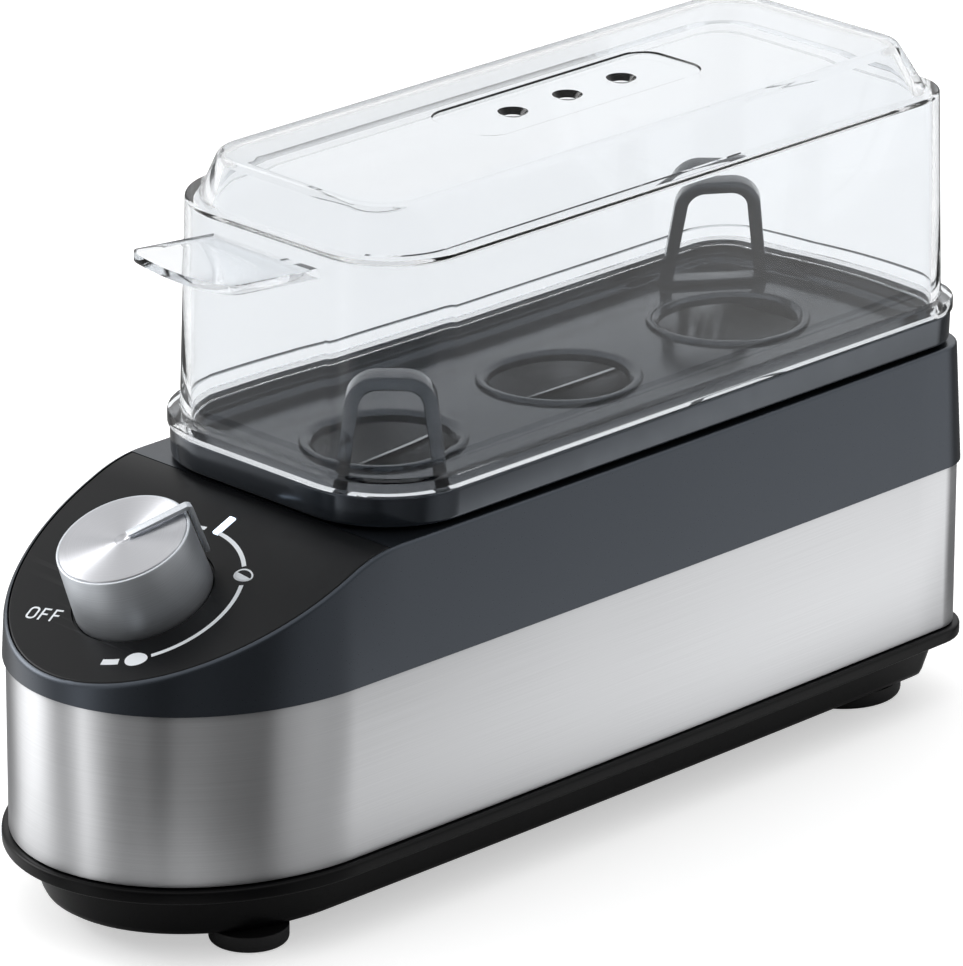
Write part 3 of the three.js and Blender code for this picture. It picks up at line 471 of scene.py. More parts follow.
@dataclass(frozen=True)
class Textured(Finish):
    """A finish with a pattern in its colour, its roughness and its relief."""

    roughness: float

    def texture(self, tree: NodeTree, shader: Node, tone: NodeSocket, spread: float,
                shades: Pair, relief: NodeSocket, unevenness: float, depth: float) -> None:
        """Lets one pattern shade the colour, and one stand out of the surface and vary its roughness.

        Args:
            tree: the material's tree.
            shader: the material's shader.
            tone: pattern that shades the colour, near 0.5 on average.
            spread: how far from 0.5 the darkest and the lightest shade are reached.
            shades: darkest and lightest shade as shares of the colour.
            relief: pattern that stands out of the surface.
            unevenness: how far the roughness goes up and down with the relief.
            depth: height of the relief in millimetres.
        """
        tint = add(tree, "ShaderNodeMapRange", {
            "Value": tone, "From Min": 0.5 - spread, "From Max": 0.5 + spread, "To Min": shades[0],
            "To Max": shades[1]})
        shade = add(tree, "ShaderNodeVectorMath", {
            0: linear(self.colour)[:3], "Scale": tint.outputs["Result"]}, operation="SCALE")
        rough = add(tree, "ShaderNodeMapRange", {
            "Value": relief, "To Min": self.roughness - unevenness, "To Max": self.roughness + unevenness})
        bump = add(tree, "ShaderNodeBump", {"Height": relief, "Strength": 1.0, "Distance": depth * MM})
        for socket, source in (("Base Color", shade.outputs["Vector"]), ("Roughness", rough.outputs["Result"]),
                               ("Normal", bump.outputs["Normal"])):
            tree.links.new(source, shader.inputs[socket])


@dataclass(frozen=True)
class Moulded(Textured):
    """Moulded polymer: an even colour with faint flow mottling and the fine spark-eroded grain of its mould."""

    grain: float = 0.35
    depth: float = 0.012
    mottle: float = 0.06
    specular: float = 0.5
    # Colour painted onto the reflection: a painted cool sheen that stands in for cool light from the room.
    painted_sheen_tint: str = "#ffffff"
    flow: Corner = (14.0, 14.0, 9.0)
    unevenness: float = 0.06

    def build(self) -> Material:
        """Builds the material.

        Returns:
            The material with its nodes.
        """
        material, tree, shader = shade_tree(self.name, {
            "Specular IOR Level": self.specular, "Specular Tint": linear(self.painted_sheen_tint)})
        self.texture(tree, shader, object_noise(tree, self.flow, 3.0), 0.2, (1 - self.mottle, 1 + self.mottle),
                     object_noise(tree, (self.grain,) * 3), self.unevenness, self.depth)
        return material


@dataclass(frozen=True)
class Brushed(Textured):
    """Metal sheet drawn under a fine belt: long grain with a highlight spread across it."""

    grain: Corner = (28.0, 28.0, 0.22)
    depth: float = 0.002
    contrast: float = 0.08
    anisotropy: float = 0.8
    unevenness: float = 0.05

    def build(self) -> Material:
        """Builds the material.

        Returns:
            The material with its nodes.
        """
        material, tree, shader = shade_tree(self.name, {
            "Metallic": 1.0, "Anisotropic": self.anisotropy, "Anisotropic Rotation": ACROSS_GRAIN})
        lines = object_noise(tree, self.grain, 4.0)
        self.texture(tree, shader, lines, 0.25, (1 - self.contrast, 1 + self.contrast), lines, self.unevenness,
                     self.depth)
        around = add(tree, "ShaderNodeTangent", direction_type="RADIAL", axis="Z")
        tree.links.new(around.outputs["Tangent"], shader.inputs["Tangent"])
        return material


@dataclass(frozen=True)
class Turned(Textured):
    """Aluminium face-turned on a lathe: grooves round the axis that spread each light into a fan."""

    pitch: float = 0.16
    depth: float = 0.0016
    anisotropy: float = 0.85
    shades: Pair = (0.93, 1.05)
    unevenness: float = 0.05
    uv_map: str = "around"

    def build(self) -> Material:
        """Builds the material; the piece's UV runs round the axis and outwards.

        Returns:
            The material with its nodes.
        """
        material, tree, shader = shade_tree(self.name, {
            "Metallic": 1.0, "Anisotropic": self.anisotropy, "Anisotropic Rotation": ACROSS_GRAIN})
        place = add(tree, "ShaderNodeUVMap", uv_map=self.uv_map)
        split = add(tree, "ShaderNodeSeparateXYZ", {"Vector": place.outputs["UV"]})
        groove = add(tree, "ShaderNodeMath", {0: split.outputs["Y"], 1: 1 / self.pitch}, operation="MULTIPLY")
        rings = add(tree, "ShaderNodeTexNoise", {
            "W": groove.outputs[0], "Scale": 1.0, "Detail": 3.0}, noise_dimensions="1D").outputs["Fac"]
        self.texture(tree, shader, rings, 0.25, self.shades, rings, self.unevenness, self.depth)
        around = add(tree, "ShaderNodeTangent", direction_type="UV_MAP", uv_map=self.uv_map)
        tree.links.new(around.outputs["Tangent"], shader.inputs["Tangent"])
        return material


@dataclass(frozen=True)
class Clear(Finish):
    """Clear styrene acrylonitrile, injection moulded and mirror polished, with a faint ripple in its walls.

    The real material refracts at 1.57. At that value the lid's thick edges gather far more dark than the
    photograph shows, so the refraction is kept low and a weak coat gives back some of the lost gloss.
    """

    ior: float = 1.16
    gloss: float = 0.4
    ripple: float = 0.012
    ripple_size: float = 22.0
    haze_size: float = 6.0
    haze: float = 0.004

    def build(self) -> Material:
        """Builds the material.

        Returns:
            The material with its nodes.
        """
        material, tree, shader = shade_tree(self.name, {
            "Base Color": linear(self.colour), "Transmission Weight": 1.0, "IOR": self.ior,
            "Coat Weight": self.gloss, "Coat Roughness": 0.0})
        bump = add(tree, "ShaderNodeBump", {
            "Height": object_noise(tree, (self.ripple_size,) * 3, 1.0), "Strength": 1.0,
            "Distance": self.ripple * MM})
        tree.links.new(bump.outputs["Normal"], shader.inputs["Normal"])
        haze = add(tree, "ShaderNodeMapRange", {
            "Value": object_noise(tree, (self.haze_size,) * 3), "To Min": 0.0, "To Max": self.haze})
        tree.links.new(haze.outputs["Result"], shader.inputs["Roughness"])
        return material


@dataclass(frozen=True)
class Glowing(Finish):
    """Frosted acrylic lit from behind, a little uneven where the frost is thicker."""

    light: str
    strength: float
    frost_size: float = 0.8
    unevenness: float = 0.1
    roughness: float = 0.35

    def build(self) -> Material:
        """Builds the material.

        Returns:
            The material with its nodes.
        """
        material, tree, shader = shade_tree(self.name, {
            "Base Color": linear(self.colour), "Emission Color": linear(self.light), "Roughness": self.roughness})
        level = add(tree, "ShaderNodeMapRange", {
            "Value": object_noise(tree, (self.frost_size,) * 3), "To Min": self.strength * (1 - self.unevenness),
            "To Max": self.strength * (1 + self.unevenness)})
        tree.links.new(level.outputs["Result"], shader.inputs["Emission Strength"])
        return material


def made_of(look: Finish) -> Material:
    """Returns the field that builds a finish's material once, when the finishes are made."""
    return field(default_factory=look.build)


@dataclass
class Finishes:
    """Every finish of the boiler, built once. Grain, pitch and depth are in millimetres."""

    # Polypropylene from a polished mould: almost black, with a weak, soft shine along its edges.
    pan: Material = made_of(Moulded(
        "gloss_black_pp", "#060607", 0.3, grain=0.5, depth=0.006, specular=0.12))
    # ABS from a spark-eroded mould: charcoal with an even sheen from the room, its cool colour painted into the
    # reflection.
    housing: Material = made_of(Moulded(
        "satin_grey_abs", "#0e1013", 0.3, grain=0.3, depth=0.004, specular=1.0, painted_sheen_tint="#d5e2f4"))
    # The same ABS in a duller black: it stays dark beside the housing, so the print stands out.
    fascia: Material = made_of(Moulded(
        "satin_black_abs", "#101113", 0.36, grain=0.3, depth=0.004, specular=0.16))
    # Polypropylene from a polished mould: dark, with a slightly wavy, wet-looking gloss and a painted cool tint in its
    # reflection.
    tray: Material = made_of(Moulded(
        "polished_grey_pp", "#1a1d21", 0.15, grain=6.0, depth=0.006, specular=0.8, painted_sheen_tint="#d9e4f2"))
    # Thermoplastic rubber with an etched skin: matt and dark, without a clear highlight.
    rubber: Material = made_of(Moulded(
        "black_tpe", "#131314", 0.55, grain=0.4, depth=0.02, mottle=0.1, specular=0.35))
    # Cast silicone: milky and dull.
    silicone: Material = made_of(Moulded("milky_silicone", "#b9b4a8", 0.5, grain=0.5, depth=0.01))
    # Unglazed ceramic and glass sleeving: chalky off-white.
    insulation: Material = made_of(Moulded("ceramic_white", "#c8c2b4", 0.55, grain=0.25, depth=0.015))
    # Moulded phenolic of small components: dark and slightly grainy.
    component: Material = made_of(Moulded("black_phenolic", "#20252c", 0.5, grain=0.3, depth=0.02))
    # Moulded polyester of a relay's case: smooth strong blue.
    relay: Material = made_of(Moulded("blue_pbt", "#24518a", 0.4, grain=0.4, depth=0.008))
    # Solder mask over a glass-fibre board: glossy green with the tracks as a faint mottle.
    board: Material = made_of(Moulded(
        "solder_mask_green", "#1f5a35", 0.35, grain=0.8, depth=0.02, mottle=0.18))
    # Pad-printed ink: a thin and even matt white.
    ink: Material = made_of(Moulded(
        "white_pad_print", "#e9edf1", 0.55, grain=0.12, depth=0.004, mottle=0.03))
    # Belt-brushed ferritic steel: hairlines along the band and soft upright bands of light round the nose. The
    # real hairlines are about 0.05 mm apart and are drawn three times as coarse, so that they show.
    band: Material = made_of(Brushed(
        "brushed_430_steel", "#c9cacc", 0.31, grain=(44.0, 44.0, 0.16), depth=0.0012, contrast=0.06,
        anisotropy=1.0))
    # Pressed austenitic steel as it comes from the rolls: bright and smooth with faint rolling lines.
    dish: Material = made_of(Brushed(
        "pressed_304_steel", "#c4c5c7", 0.24, grain=(40.0, 0.5, 40.0), depth=0.0008, contrast=0.04,
        anisotropy=0.0))
    # Aluminium with a satin anodised skin: an even silver grey.
    knob_side: Material = made_of(Turned(
        "satin_aluminium", "#d3d7dc", 0.5, pitch=0.3, depth=0.001, anisotropy=0.0))
    # Face-turned aluminium: fine rings that pull each light into a fan. The real rings are under 0.1 mm apart
    # and are drawn coarser, so that they show.
    knob_face: Material = made_of(Turned("spun_aluminium", "#d3d4d8", 0.42, anisotropy=0.95))
    # Zinc-plated steel: a dull, slightly warm grey.
    zinc: Material = made_of(Brushed(
        "zinc_plated_steel", "#b4b0a6", 0.34, grain=(0.5, 0.5, 0.5), depth=0.002, contrast=0.1, anisotropy=0.0))
    # Rolled aluminium: pale grey with faint lines along the sheet.
    aluminium: Material = made_of(Brushed(
        "rolled_aluminium", "#a9adb2", 0.4, grain=(18.0, 0.4, 0.4), depth=0.003, contrast=0.08, anisotropy=0.2))
    # Styrene acrylonitrile: clear as glass, with bright lines along its edges.
    clear: Material = made_of(Clear("clear_san", "#f5f7f9"))
    # Frosted acrylic: an even cool white light.
    light: Material = made_of(Glowing("lit_acrylic", "#e6f3ff", light="#dcecff", strength=1.6))


@dataclass(frozen=True)
class Plan:
    """Outline of the body seen from above, read at the steel."""

    front: float = -120.0
    rear: float = 120.0
    half: float = 41.0
    flat_half: float = 40.98
    nose: float = 47.6
    corner: float = 9.8
    bulge: float = 1.1
    bulge_x: float = 4.5
    nose_steps: int = 44
    blend_steps: int = 12
    side_steps: int = 18
    corner_steps: int = 10
    blend_end: float = -56.0

    def half_at(self, x: float, inset: float) -> float:
        """Returns the half width at x, drawn in by inset."""
        return min(self.half - self.bulge * ((x - self.bulge_x) / self.rear) ** 2, self.flat_half) - inset

    def outline(self, inset: float, end: float | None = None) -> Outline:
        """Draws the outline, from the nose along the near side and back along the far side.

        Args:
            inset: how far the outline is drawn in all round.
            end: x at which the outline is cut off squarely, or none.

        Returns:
            The outline's points.
        """
        nose, corner = self.nose - inset, max(self.corner - inset, LEAST_RADIUS)
        near: Outline = []
        for i in range(self.nose_steps + 1):
            angle = i / self.nose_steps * math.pi / 2
            x = self.front + inset + nose * (1 - math.cos(angle))
            near.append((x, -self.half_at(x, inset) * math.sin(angle)))
        straight, corner_x = self.front + inset + nose, self.rear - inset - corner
        xs = [lerp(straight, self.blend_end, i / self.blend_steps) for i in range(1, self.blend_steps + 1)]
        xs += [lerp(self.blend_end, corner_x, i / self.side_steps) for i in range(1, self.side_steps + 1)]
        near += [(x, -self.half_at(x, inset)) for x in xs]
        if end is not None:
            near = [p for p in near if p[0] < end - 0.01]
            near.append((end, -self.half_at(end, inset)))
        else:
            side = self.half_at(corner_x, inset)
            for i in range(1, self.corner_steps + 1):
                angle = i / self.corner_steps * math.pi / 2
                near.append((corner_x + corner * math.sin(angle), -side + corner * (1 - math.cos(angle))))
        return near + [(x, -y) for x, y in reversed(near[1:])]


def oblong(front: float, rear: float, half: float, front_radius: float, rear_radius: float,
           steps: int = 12) -> Outline:
    """Draws a rounded oblong whose front and rear corners differ.

    Args:
        front: x of the front edge.
        rear: x of the rear edge.
        half: half width.
        front_radius: radius of the front corners.
        rear_radius: radius of the rear corners.
        steps: spans in each corner.

    Returns:
        The outline's points.
    """
    corners = [
        (front + front_radius, -half + front_radius, front_radius, math.pi),
        (rear - rear_radius, -half + rear_radius, rear_radius, 1.5 * math.pi),
        (rear - rear_radius, half - rear_radius, rear_radius, 0.0),
        (front + front_radius, half - front_radius, front_radius, 0.5 * math.pi),
    ]
    points: Outline = []
    for x, y, radius, start in corners:
        for i in range(steps + 1):
            angle = start + i / steps * math.pi / 2
            points.append((x + radius * math.cos(angle), y + radius * math.sin(angle)))
    return points


PLAN = Plan()


@dataclass(frozen=True)
class Levels:
    """Heights that several sub-assemblies share, and the thickness of the dish's flange and of its seal."""

    pan_bottom: float = 4.0
    steel_bottom: float = 18.25
    steel_top: float = 56.25
    housing_bottom: float = 56.55
    deck: float = 84.15
    collar_bottom: float = 84.95
    collar_top: float = 91.55
    tray_under: float = 84.45
    tray_floor: float = 86.25
    dish_flange: float = 1.0
    dish_seal: float = 0.7


Z = Levels()


@dataclass(frozen=True)
class Slope:
    """The sloped control panel, its blend up to the deck, and the knob's axis."""

    knob_x: float = -93.5
    knob_z: float = 72.0
    tilt: float = math.radians(22.3)
    blend: float = 35.0

    def height(self, x: float) -> float:
        """Works out the height of the panel or deck.

        Args:
            x: place along the body.

        Returns:
            The height there.
        """
        centre = self.knob_x + (Z.deck - self.knob_z) / math.tan(self.tilt) + self.blend * math.tan(self.tilt / 2)
        if x >= centre:
            return Z.deck
        if x > centre - self.blend * math.sin(self.tilt):
            return Z.deck - self.blend + math.sqrt(self.blend**2 - (centre - x) ** 2)
        return self.knob_z + (x - self.knob_x) * math.tan(self.tilt)

    def matrix(self, turn: float = 0.0) -> Matrix:
        """Returns the frame whose origin is the knob's axis on the panel and whose Z is the panel's normal."""
        return (Matrix.Translation((self.knob_x, 0, self.knob_z)) @ Matrix.Rotation(-self.tilt, 4, "Y")
                @ Matrix.Rotation(turn, 4, "Z"))


SLOPE = Slope()


def on_panel(name: str, shape: Shape, turn: float = 0.0) -> Object:
    """Returns an object from a shape that is drawn about the knob's axis, set on the panel."""
    return shape.moved(SLOPE.matrix(turn)).to_object(name)


def grow(name: str, source: Object, build: TreeMaker, sizes: dict[str, tuple[str, object]],
         material: Material) -> Object:
    """Runs a geometry tree on an object and keeps the result as a plain mesh.

    Args:
        name: name of the tree.
        source: object whose geometry goes in.
        build: adds the tree's nodes from its input node and returns the geometry socket.
        sizes: named inputs, each with its socket type and value.
        material: finish that the tree sets.

    Returns:
        The object with its new mesh.
    """
    tree = bpy.data.node_groups.new(name, "GeometryNodeTree")
    tree.interface.new_socket(name="Geometry", in_out="INPUT", socket_type="NodeSocketGeometry")
    named = {label: tree.interface.new_socket(name=label, in_out="INPUT", socket_type=kind)
             for label, (kind, _) in sizes.items()}
    tree.interface.new_socket(name="Geometry", in_out="OUTPUT", socket_type="NodeSocketGeometry")
    inward = add(tree, "NodeGroupInput")
    solid = build(tree, inward)
    real = add(tree, "GeometryNodeRealizeInstances", {"Geometry": solid})
    set_finish = add(tree, "GeometryNodeSetMaterial", {"Geometry": real.outputs["Geometry"], "Material": material})
    add(tree, "NodeGroupOutput", {"Geometry": set_finish.outputs["Geometry"]})
    modifier = source.modifiers.new(name, "NODES")
    modifier.node_group = tree
    for label, (_, value) in sizes.items():
        modifier[named[label].identifier] = value
    source.update_tag()
    graph = bpy.context.evaluated_depsgraph_get()
    mesh = bpy.data.meshes.new_from_object(source.evaluated_get(graph))
    title = source.name
    drop(source)
    return placed(title, mesh)


def dots(name: str, places: Iterable[Corner]) -> Object:
    """Makes an object of loose points for a geometry tree to work on.

    Args:
        name: name of the object.
        places: the points in millimetres.

    Returns:
        The object.
    """
    mesh = bpy.data.meshes.new(name)
    mesh.from_pydata([Vector(p) * MM for p in places], [], [])
    return placed(name, mesh)


def repeat(name: str, places: Iterable[Corner], unit: Object,
           material: Material) -> Object:
    """Sets a copy of one object at each place with a geometry tree, and deletes the single one.

    Args:
        name: name of the result.
        places: where the copies go, in millimetres.
        unit: the object that is repeated, drawn about the origin.
        material: finish of the copies.

    Returns:
        One mesh with all the copies.
    """
    def build(tree: NodeTree, inward: Node) -> NodeSocket:
        """Sets the unit at every point.

        Args:
            tree: tree that gets the nodes.
            inward: the tree's input node.

        Returns:
            The socket of the instances.
        """
        info = add(tree, "GeometryNodeObjectInfo", {"Object": inward.outputs["Unit"]})
        return add(tree, "GeometryNodeInstanceOnPoints", {
            "Points": inward.outputs["Geometry"], "Instance": info.outputs["Geometry"],
            "Scale": inward.outputs["Size"]}).outputs["Instances"]

    made = grow(name, dots(name, places), build,
                {"Unit": ("NodeSocketObject", unit), "Size": ("NodeSocketVector", (1.0, 1.0, 1.0))}, material)
    drop(unit)
    return made


def cross_screw(name: str, radius: float, length: float, head: float, thick: float) -> Object:
    """Makes a screw with a domed, cross-recessed head below and its shank upwards.

    Args:
        name: name of the object.
        radius: radius of the shank.
        length: length of the shank.
        head: radius of the head.
        thick: height of the head.

    Returns:
        The screw, its head seated at the origin.
    """
    crown, floor, tip = head * 0.72, -thick * 0.45, 0.2
    profile = soften([(0, -thick, 0), (crown, -thick, 0.5), (head, floor, 0.4), (head, 0, 0.15),
                      (radius, 0, 0.2), (radius, length - radius, 0.2), (tip, length, 0), (0, length, 0)],
                     3, closed=False)
    made = Shape().turned(profile, 20).to_object(name)
    wide, long = head * 0.16, head * 0.62
    bars = [block(-wide, wide, -long, long, -thick - PAST, floor),
            block(-long, long, -wide, wide, -thick - PAST, floor)]
    return work_on(made, Cut.AWAY, *(bar.to_object(f"{name}_slot") for bar in bars))


@dataclass
class BasePart:
    """Base pan, feet, screws, steel band and cord gland."""

    finishes: Finishes
    flange_reach: float = 1.5
    flange_bottom: float = 15.05
    flange_top: float = 17.95
    shoulder_inset: float = 3.8
    foot_inset: float = 6.5
    tub_inset: float = 1.1
    wall: float = 2.2
    floor: float = 2.4
    sheet: float = 0.8
    hem: float = 0.22
    floor_ring: float = 9.0
    post_radius: float = 4.0
    post_lift: float = 0.6
    post_height: float = 20.0
    well_mouth: float = 3.9
    well_radius: float = 3.3
    well_height: float = 16.0
    screw_way: float = 1.8
    peg_way: float = 2.7
    peg_depth: float = 4.0
    screw_seat: float = 15.7
    foot_height: float = 3.7
    foot_hollow: float = 0.5
    foot_peg: Pair = (2.4, 7.9)
    gland_z: float = 30.0
    gland_neck: float = 5.6
    gland_bore: float = 3.6
    gland_flange: float = 8.0
    gland_lip: float = 1.1
    gland_inside: float = 2.0
    gland_way: Pair = (100.0, 124.0)
    vent_width: float = 2.4
    vent_length: float = 26.0
    vent_pitch: float = 8.0
    vent_count: int = 5
    screw_places: tuple[Pair, ...] = ((-56.0, -24.0), (-56.0, 24.0), (108.0, -24.0), (108.0, 24.0))
    feet: tuple[tuple[str, float, float, float], ...] = (
        ("front_near", -87.3, -24.6, 8.5), ("front_far", -87.3, 24.6, 8.5),
        ("rear_near", 101.5, -18.0, 13.5), ("rear_far", 101.5, 18.0, 13.5))

    def gland_matrix(self) -> Matrix:
        """Returns the place of the gland, its axis along the body."""
        return Matrix.Translation((0, 0, self.gland_z)) @ Matrix.Rotation(math.pi / 2, 4, "Y")

    def gland_hole(self) -> Object:
        """Returns the cutter of the hole that the gland sits in."""
        return pin(self.gland_neck + FIT, *self.gland_way, 48).moved(self.gland_matrix()).to_object("gland_hole")

    def stand(self, name: str, profile: Sequence[Pair], places: Iterable[Pair]) -> list[Object]:
        """Turns one profile at each of several places.

        Args:
            name: name of the objects.
            profile: radius and height pairs, from the axis to the axis.
            places: where they stand.

        Returns:
            The objects.
        """
        return [Shape().turned(profile, 32).moved(Matrix.Translation((x, y, 0))).to_object(name) for x, y in places]

    def pan(self) -> None:
        """Builds the black pan that the whole appliance stands in."""
        bottom, tub_top = Z.pan_bottom, Z.housing_bottom - FIT
        inner, centre = self.tub_inset + self.wall, self.foot_inset + self.floor_ring
        levels = soften([
            (self.foot_inset, bottom, 2.9), (self.shoulder_inset, self.flange_bottom, 0.5),
            (-self.flange_reach, self.flange_bottom, 0.5), (-self.flange_reach, self.flange_top, 0.9),
            (self.tub_inset, self.flange_top, 0.2), (self.tub_inset, tub_top, 0.3), (inner, tub_top, 0.3),
            (inner, self.flange_top, 1.0), (self.shoulder_inset + self.wall, self.flange_bottom, 1.0),
            (self.foot_inset + self.wall, bottom + self.floor, 1.5), (centre, bottom + self.floor, 0)],
            5, closed=False)
        # The lower edge's rounding is listed point by point, from the flat underside up to the first of the levels.
        start = [(centre, bottom), (self.foot_inset + 2.9, bottom), (self.foot_inset + 1.6, bottom + 0.35),
                 (self.foot_inset + 0.65, bottom + 1.0), (self.foot_inset + 0.1, bottom + 2.1)]
        rings = [raised(PLAN.outline(inset), z) for inset, z in start + levels[1:]]
        made = Shape().loft(rings, Cap.STRIPS).to_object("pan_body")
        low, high = bottom + self.post_lift, bottom + self.post_height
        post = soften([(0, low, 0), (self.post_radius, low, 0), (self.post_radius, high, 0.4), (0, high, 0)], 3, False)
        work_on(made, Cut.JOIN, *self.stand("post", post, self.screw_places))
        under, seat, end = bottom - PAST, bottom + self.well_height, high + PAST
        wells = self.stand("well", [
            (0, under), (self.well_mouth, under), (self.well_radius, bottom + 0.4), (self.well_radius, seat),
            (self.screw_way, seat), (self.screw_way, end), (0, end)], self.screw_places)
        peg_end = bottom + self.peg_depth
        pegs = self.stand("peg_way", [(0, under), (self.peg_way, under), (self.peg_way, peg_end), (0, peg_end)],
                          [(x, y) for _, x, y, _ in self.feet])
        work_on(made, Cut.AWAY, *wells, *pegs, self.vents(), self.gland_hole())
        dress(made, self.finishes.pan, Body.BASE, ["base_pan"])

    def vents(self) -> Object:
        """Builds the cutter of the row of slots under the pan.

        Returns:
            The cutter.
        """
        half, bottom = self.vent_width / 2, Z.pan_bottom
        # The ends' radius is a hair under the half width, so that no two points meet.
        radius = half - 0.01
        slot = prism(oblong(-half, half, self.vent_length / 2, radius, radius, 6), bottom - PAST,
                     bottom + self.floor + PAST).to_object("vent_slot")
        first = -(self.vent_count - 1) / 2 * self.vent_pitch
        places = [(first + i * self.vent_pitch, 0, 0) for i in range(self.vent_count)]
        return repeat("vents", places, slot, self.finishes.pan)

    def foot(self, place: str, x: float, y: float, radius: float) -> None:
        """Builds one round foot with a peg above and a grip ring below.

        Args:
            place: which foot it is.
            x: place along the body.
            y: place across the body.
            radius: outer radius.
        """
        top, (peg, peg_top) = self.foot_height, self.foot_peg
        profile = soften([
            (0, self.foot_hollow, 0), (radius * 0.45, self.foot_hollow, 0.3), (radius * 0.5, 0, 0.3), (radius, 0, 1.2),
            (radius, top, 0.3), (peg, top, 0.2), (peg, peg_top - 0.5, 0.4), (0, peg_top, 0)], 5, False)
        made = Shape().turned(profile, 72).moved(Matrix.Translation((x, y, 0))).to_object(f"rubber_foot_{place}")
        dress(made, self.finishes.rubber, Body.BASE, [f"foot_{place}"])

    def screws(self) -> None:
        """Sets the four screws that hold the pan to the housing."""
        unit = cross_screw("pan_screw", radius=1.5, length=16.0, head=3.0, thick=2.0)
        places = [(x, y, Z.pan_bottom + self.screw_seat) for x, y in self.screw_places]
        made = repeat("pan_screws", places, unit, self.finishes.zinc)
        dress(made, self.finishes.zinc, Body.BASE, [f"base_screw_{i}" for i in range(1, 5)])

    def band(self) -> None:
        """Sweeps the sheet's edge section round the plan line and cuts the gland's hole."""
        line = bpy.data.curves.new("band_line", "CURVE")
        line.dimensions = "3D"
        spline = line.splines.new("POLY")
        path = PLAN.outline(self.sheet / 2)
        spline.points.add(len(path) - 1)
        for point, (x, y) in zip(spline.points, path):
            point.co = (x * MM, y * MM, (Z.steel_bottom + Z.steel_top) / 2 * MM, 1)
        spline.use_cyclic_u = True
        source = placed("steel_wrap", line)

        def build(tree: NodeTree, inward: Node) -> NodeSocket:
            """Sweeps a rounded rectangle along the line.

            Args:
                tree: tree that gets the nodes.
                inward: the tree's input node.

            Returns:
                The socket of the swept skin.
            """
            upright = add(tree, "GeometryNodeSetCurveNormal", {"Curve": inward.outputs["Geometry"]}, mode="Z_UP")
            section = add(tree, "GeometryNodeCurvePrimitiveQuadrilateral", {
                "Width": inward.outputs["Sheet"], "Height": inward.outputs["Height"]})
            hem = add(tree, "GeometryNodeFilletCurve", {
                "Curve": section.outputs["Curve"], "Radius": inward.outputs["Edge"], "Count": 2}, mode="POLY")
            return add(tree, "GeometryNodeCurveToMesh", {
                "Curve": upright.outputs["Curve"], "Profile Curve": hem.outputs["Curve"]}).outputs["Mesh"]

        made = grow("band_sweep", source, build, {
            "Sheet": ("NodeSocketFloat", self.sheet * MM),
            "Height": ("NodeSocketFloat", (Z.steel_top - Z.steel_bottom) * MM),
            "Edge": ("NodeSocketFloat", self.hem * MM)}, self.finishes.band)
        face_outwards(made.data)
        work_on(made, Cut.AWAY, self.gland_hole())
        dress(made, self.finishes.band, Body.BASE, ["steel_band"])

    def gland(self) -> None:
        """Builds the flanged rubber gland in the rear wall."""
        inner, outer = PLAN.rear - self.tub_inset - self.wall - FIT, PLAN.rear + FIT
        inside, outside = inner - self.gland_inside, outer + self.gland_lip
        profile = soften([
            (self.gland_bore, inside, 0.5), (self.gland_flange, inside, 0.5), (self.gland_flange, inner, 0.3),
            (self.gland_neck, inner, 0.1), (self.gland_neck, outer, 0.1), (self.gland_flange, outer, 0.2),
            (self.gland_flange, outside, 0.6), (self.gland_bore, outside, 0.6)], 4)
        made = Shape().turned(profile, 64, closed=True).moved(self.gland_matrix()).to_object("gland_grommet")
        dress(made, self.finishes.rubber, Body.BASE, ["cord_gland"])

    def build(self) -> None:
        """Builds the whole sub-assembly."""
        self.pan()
        for foot in self.feet:
            self.foot(*foot)
        self.screws()
        self.band()
        self.gland()


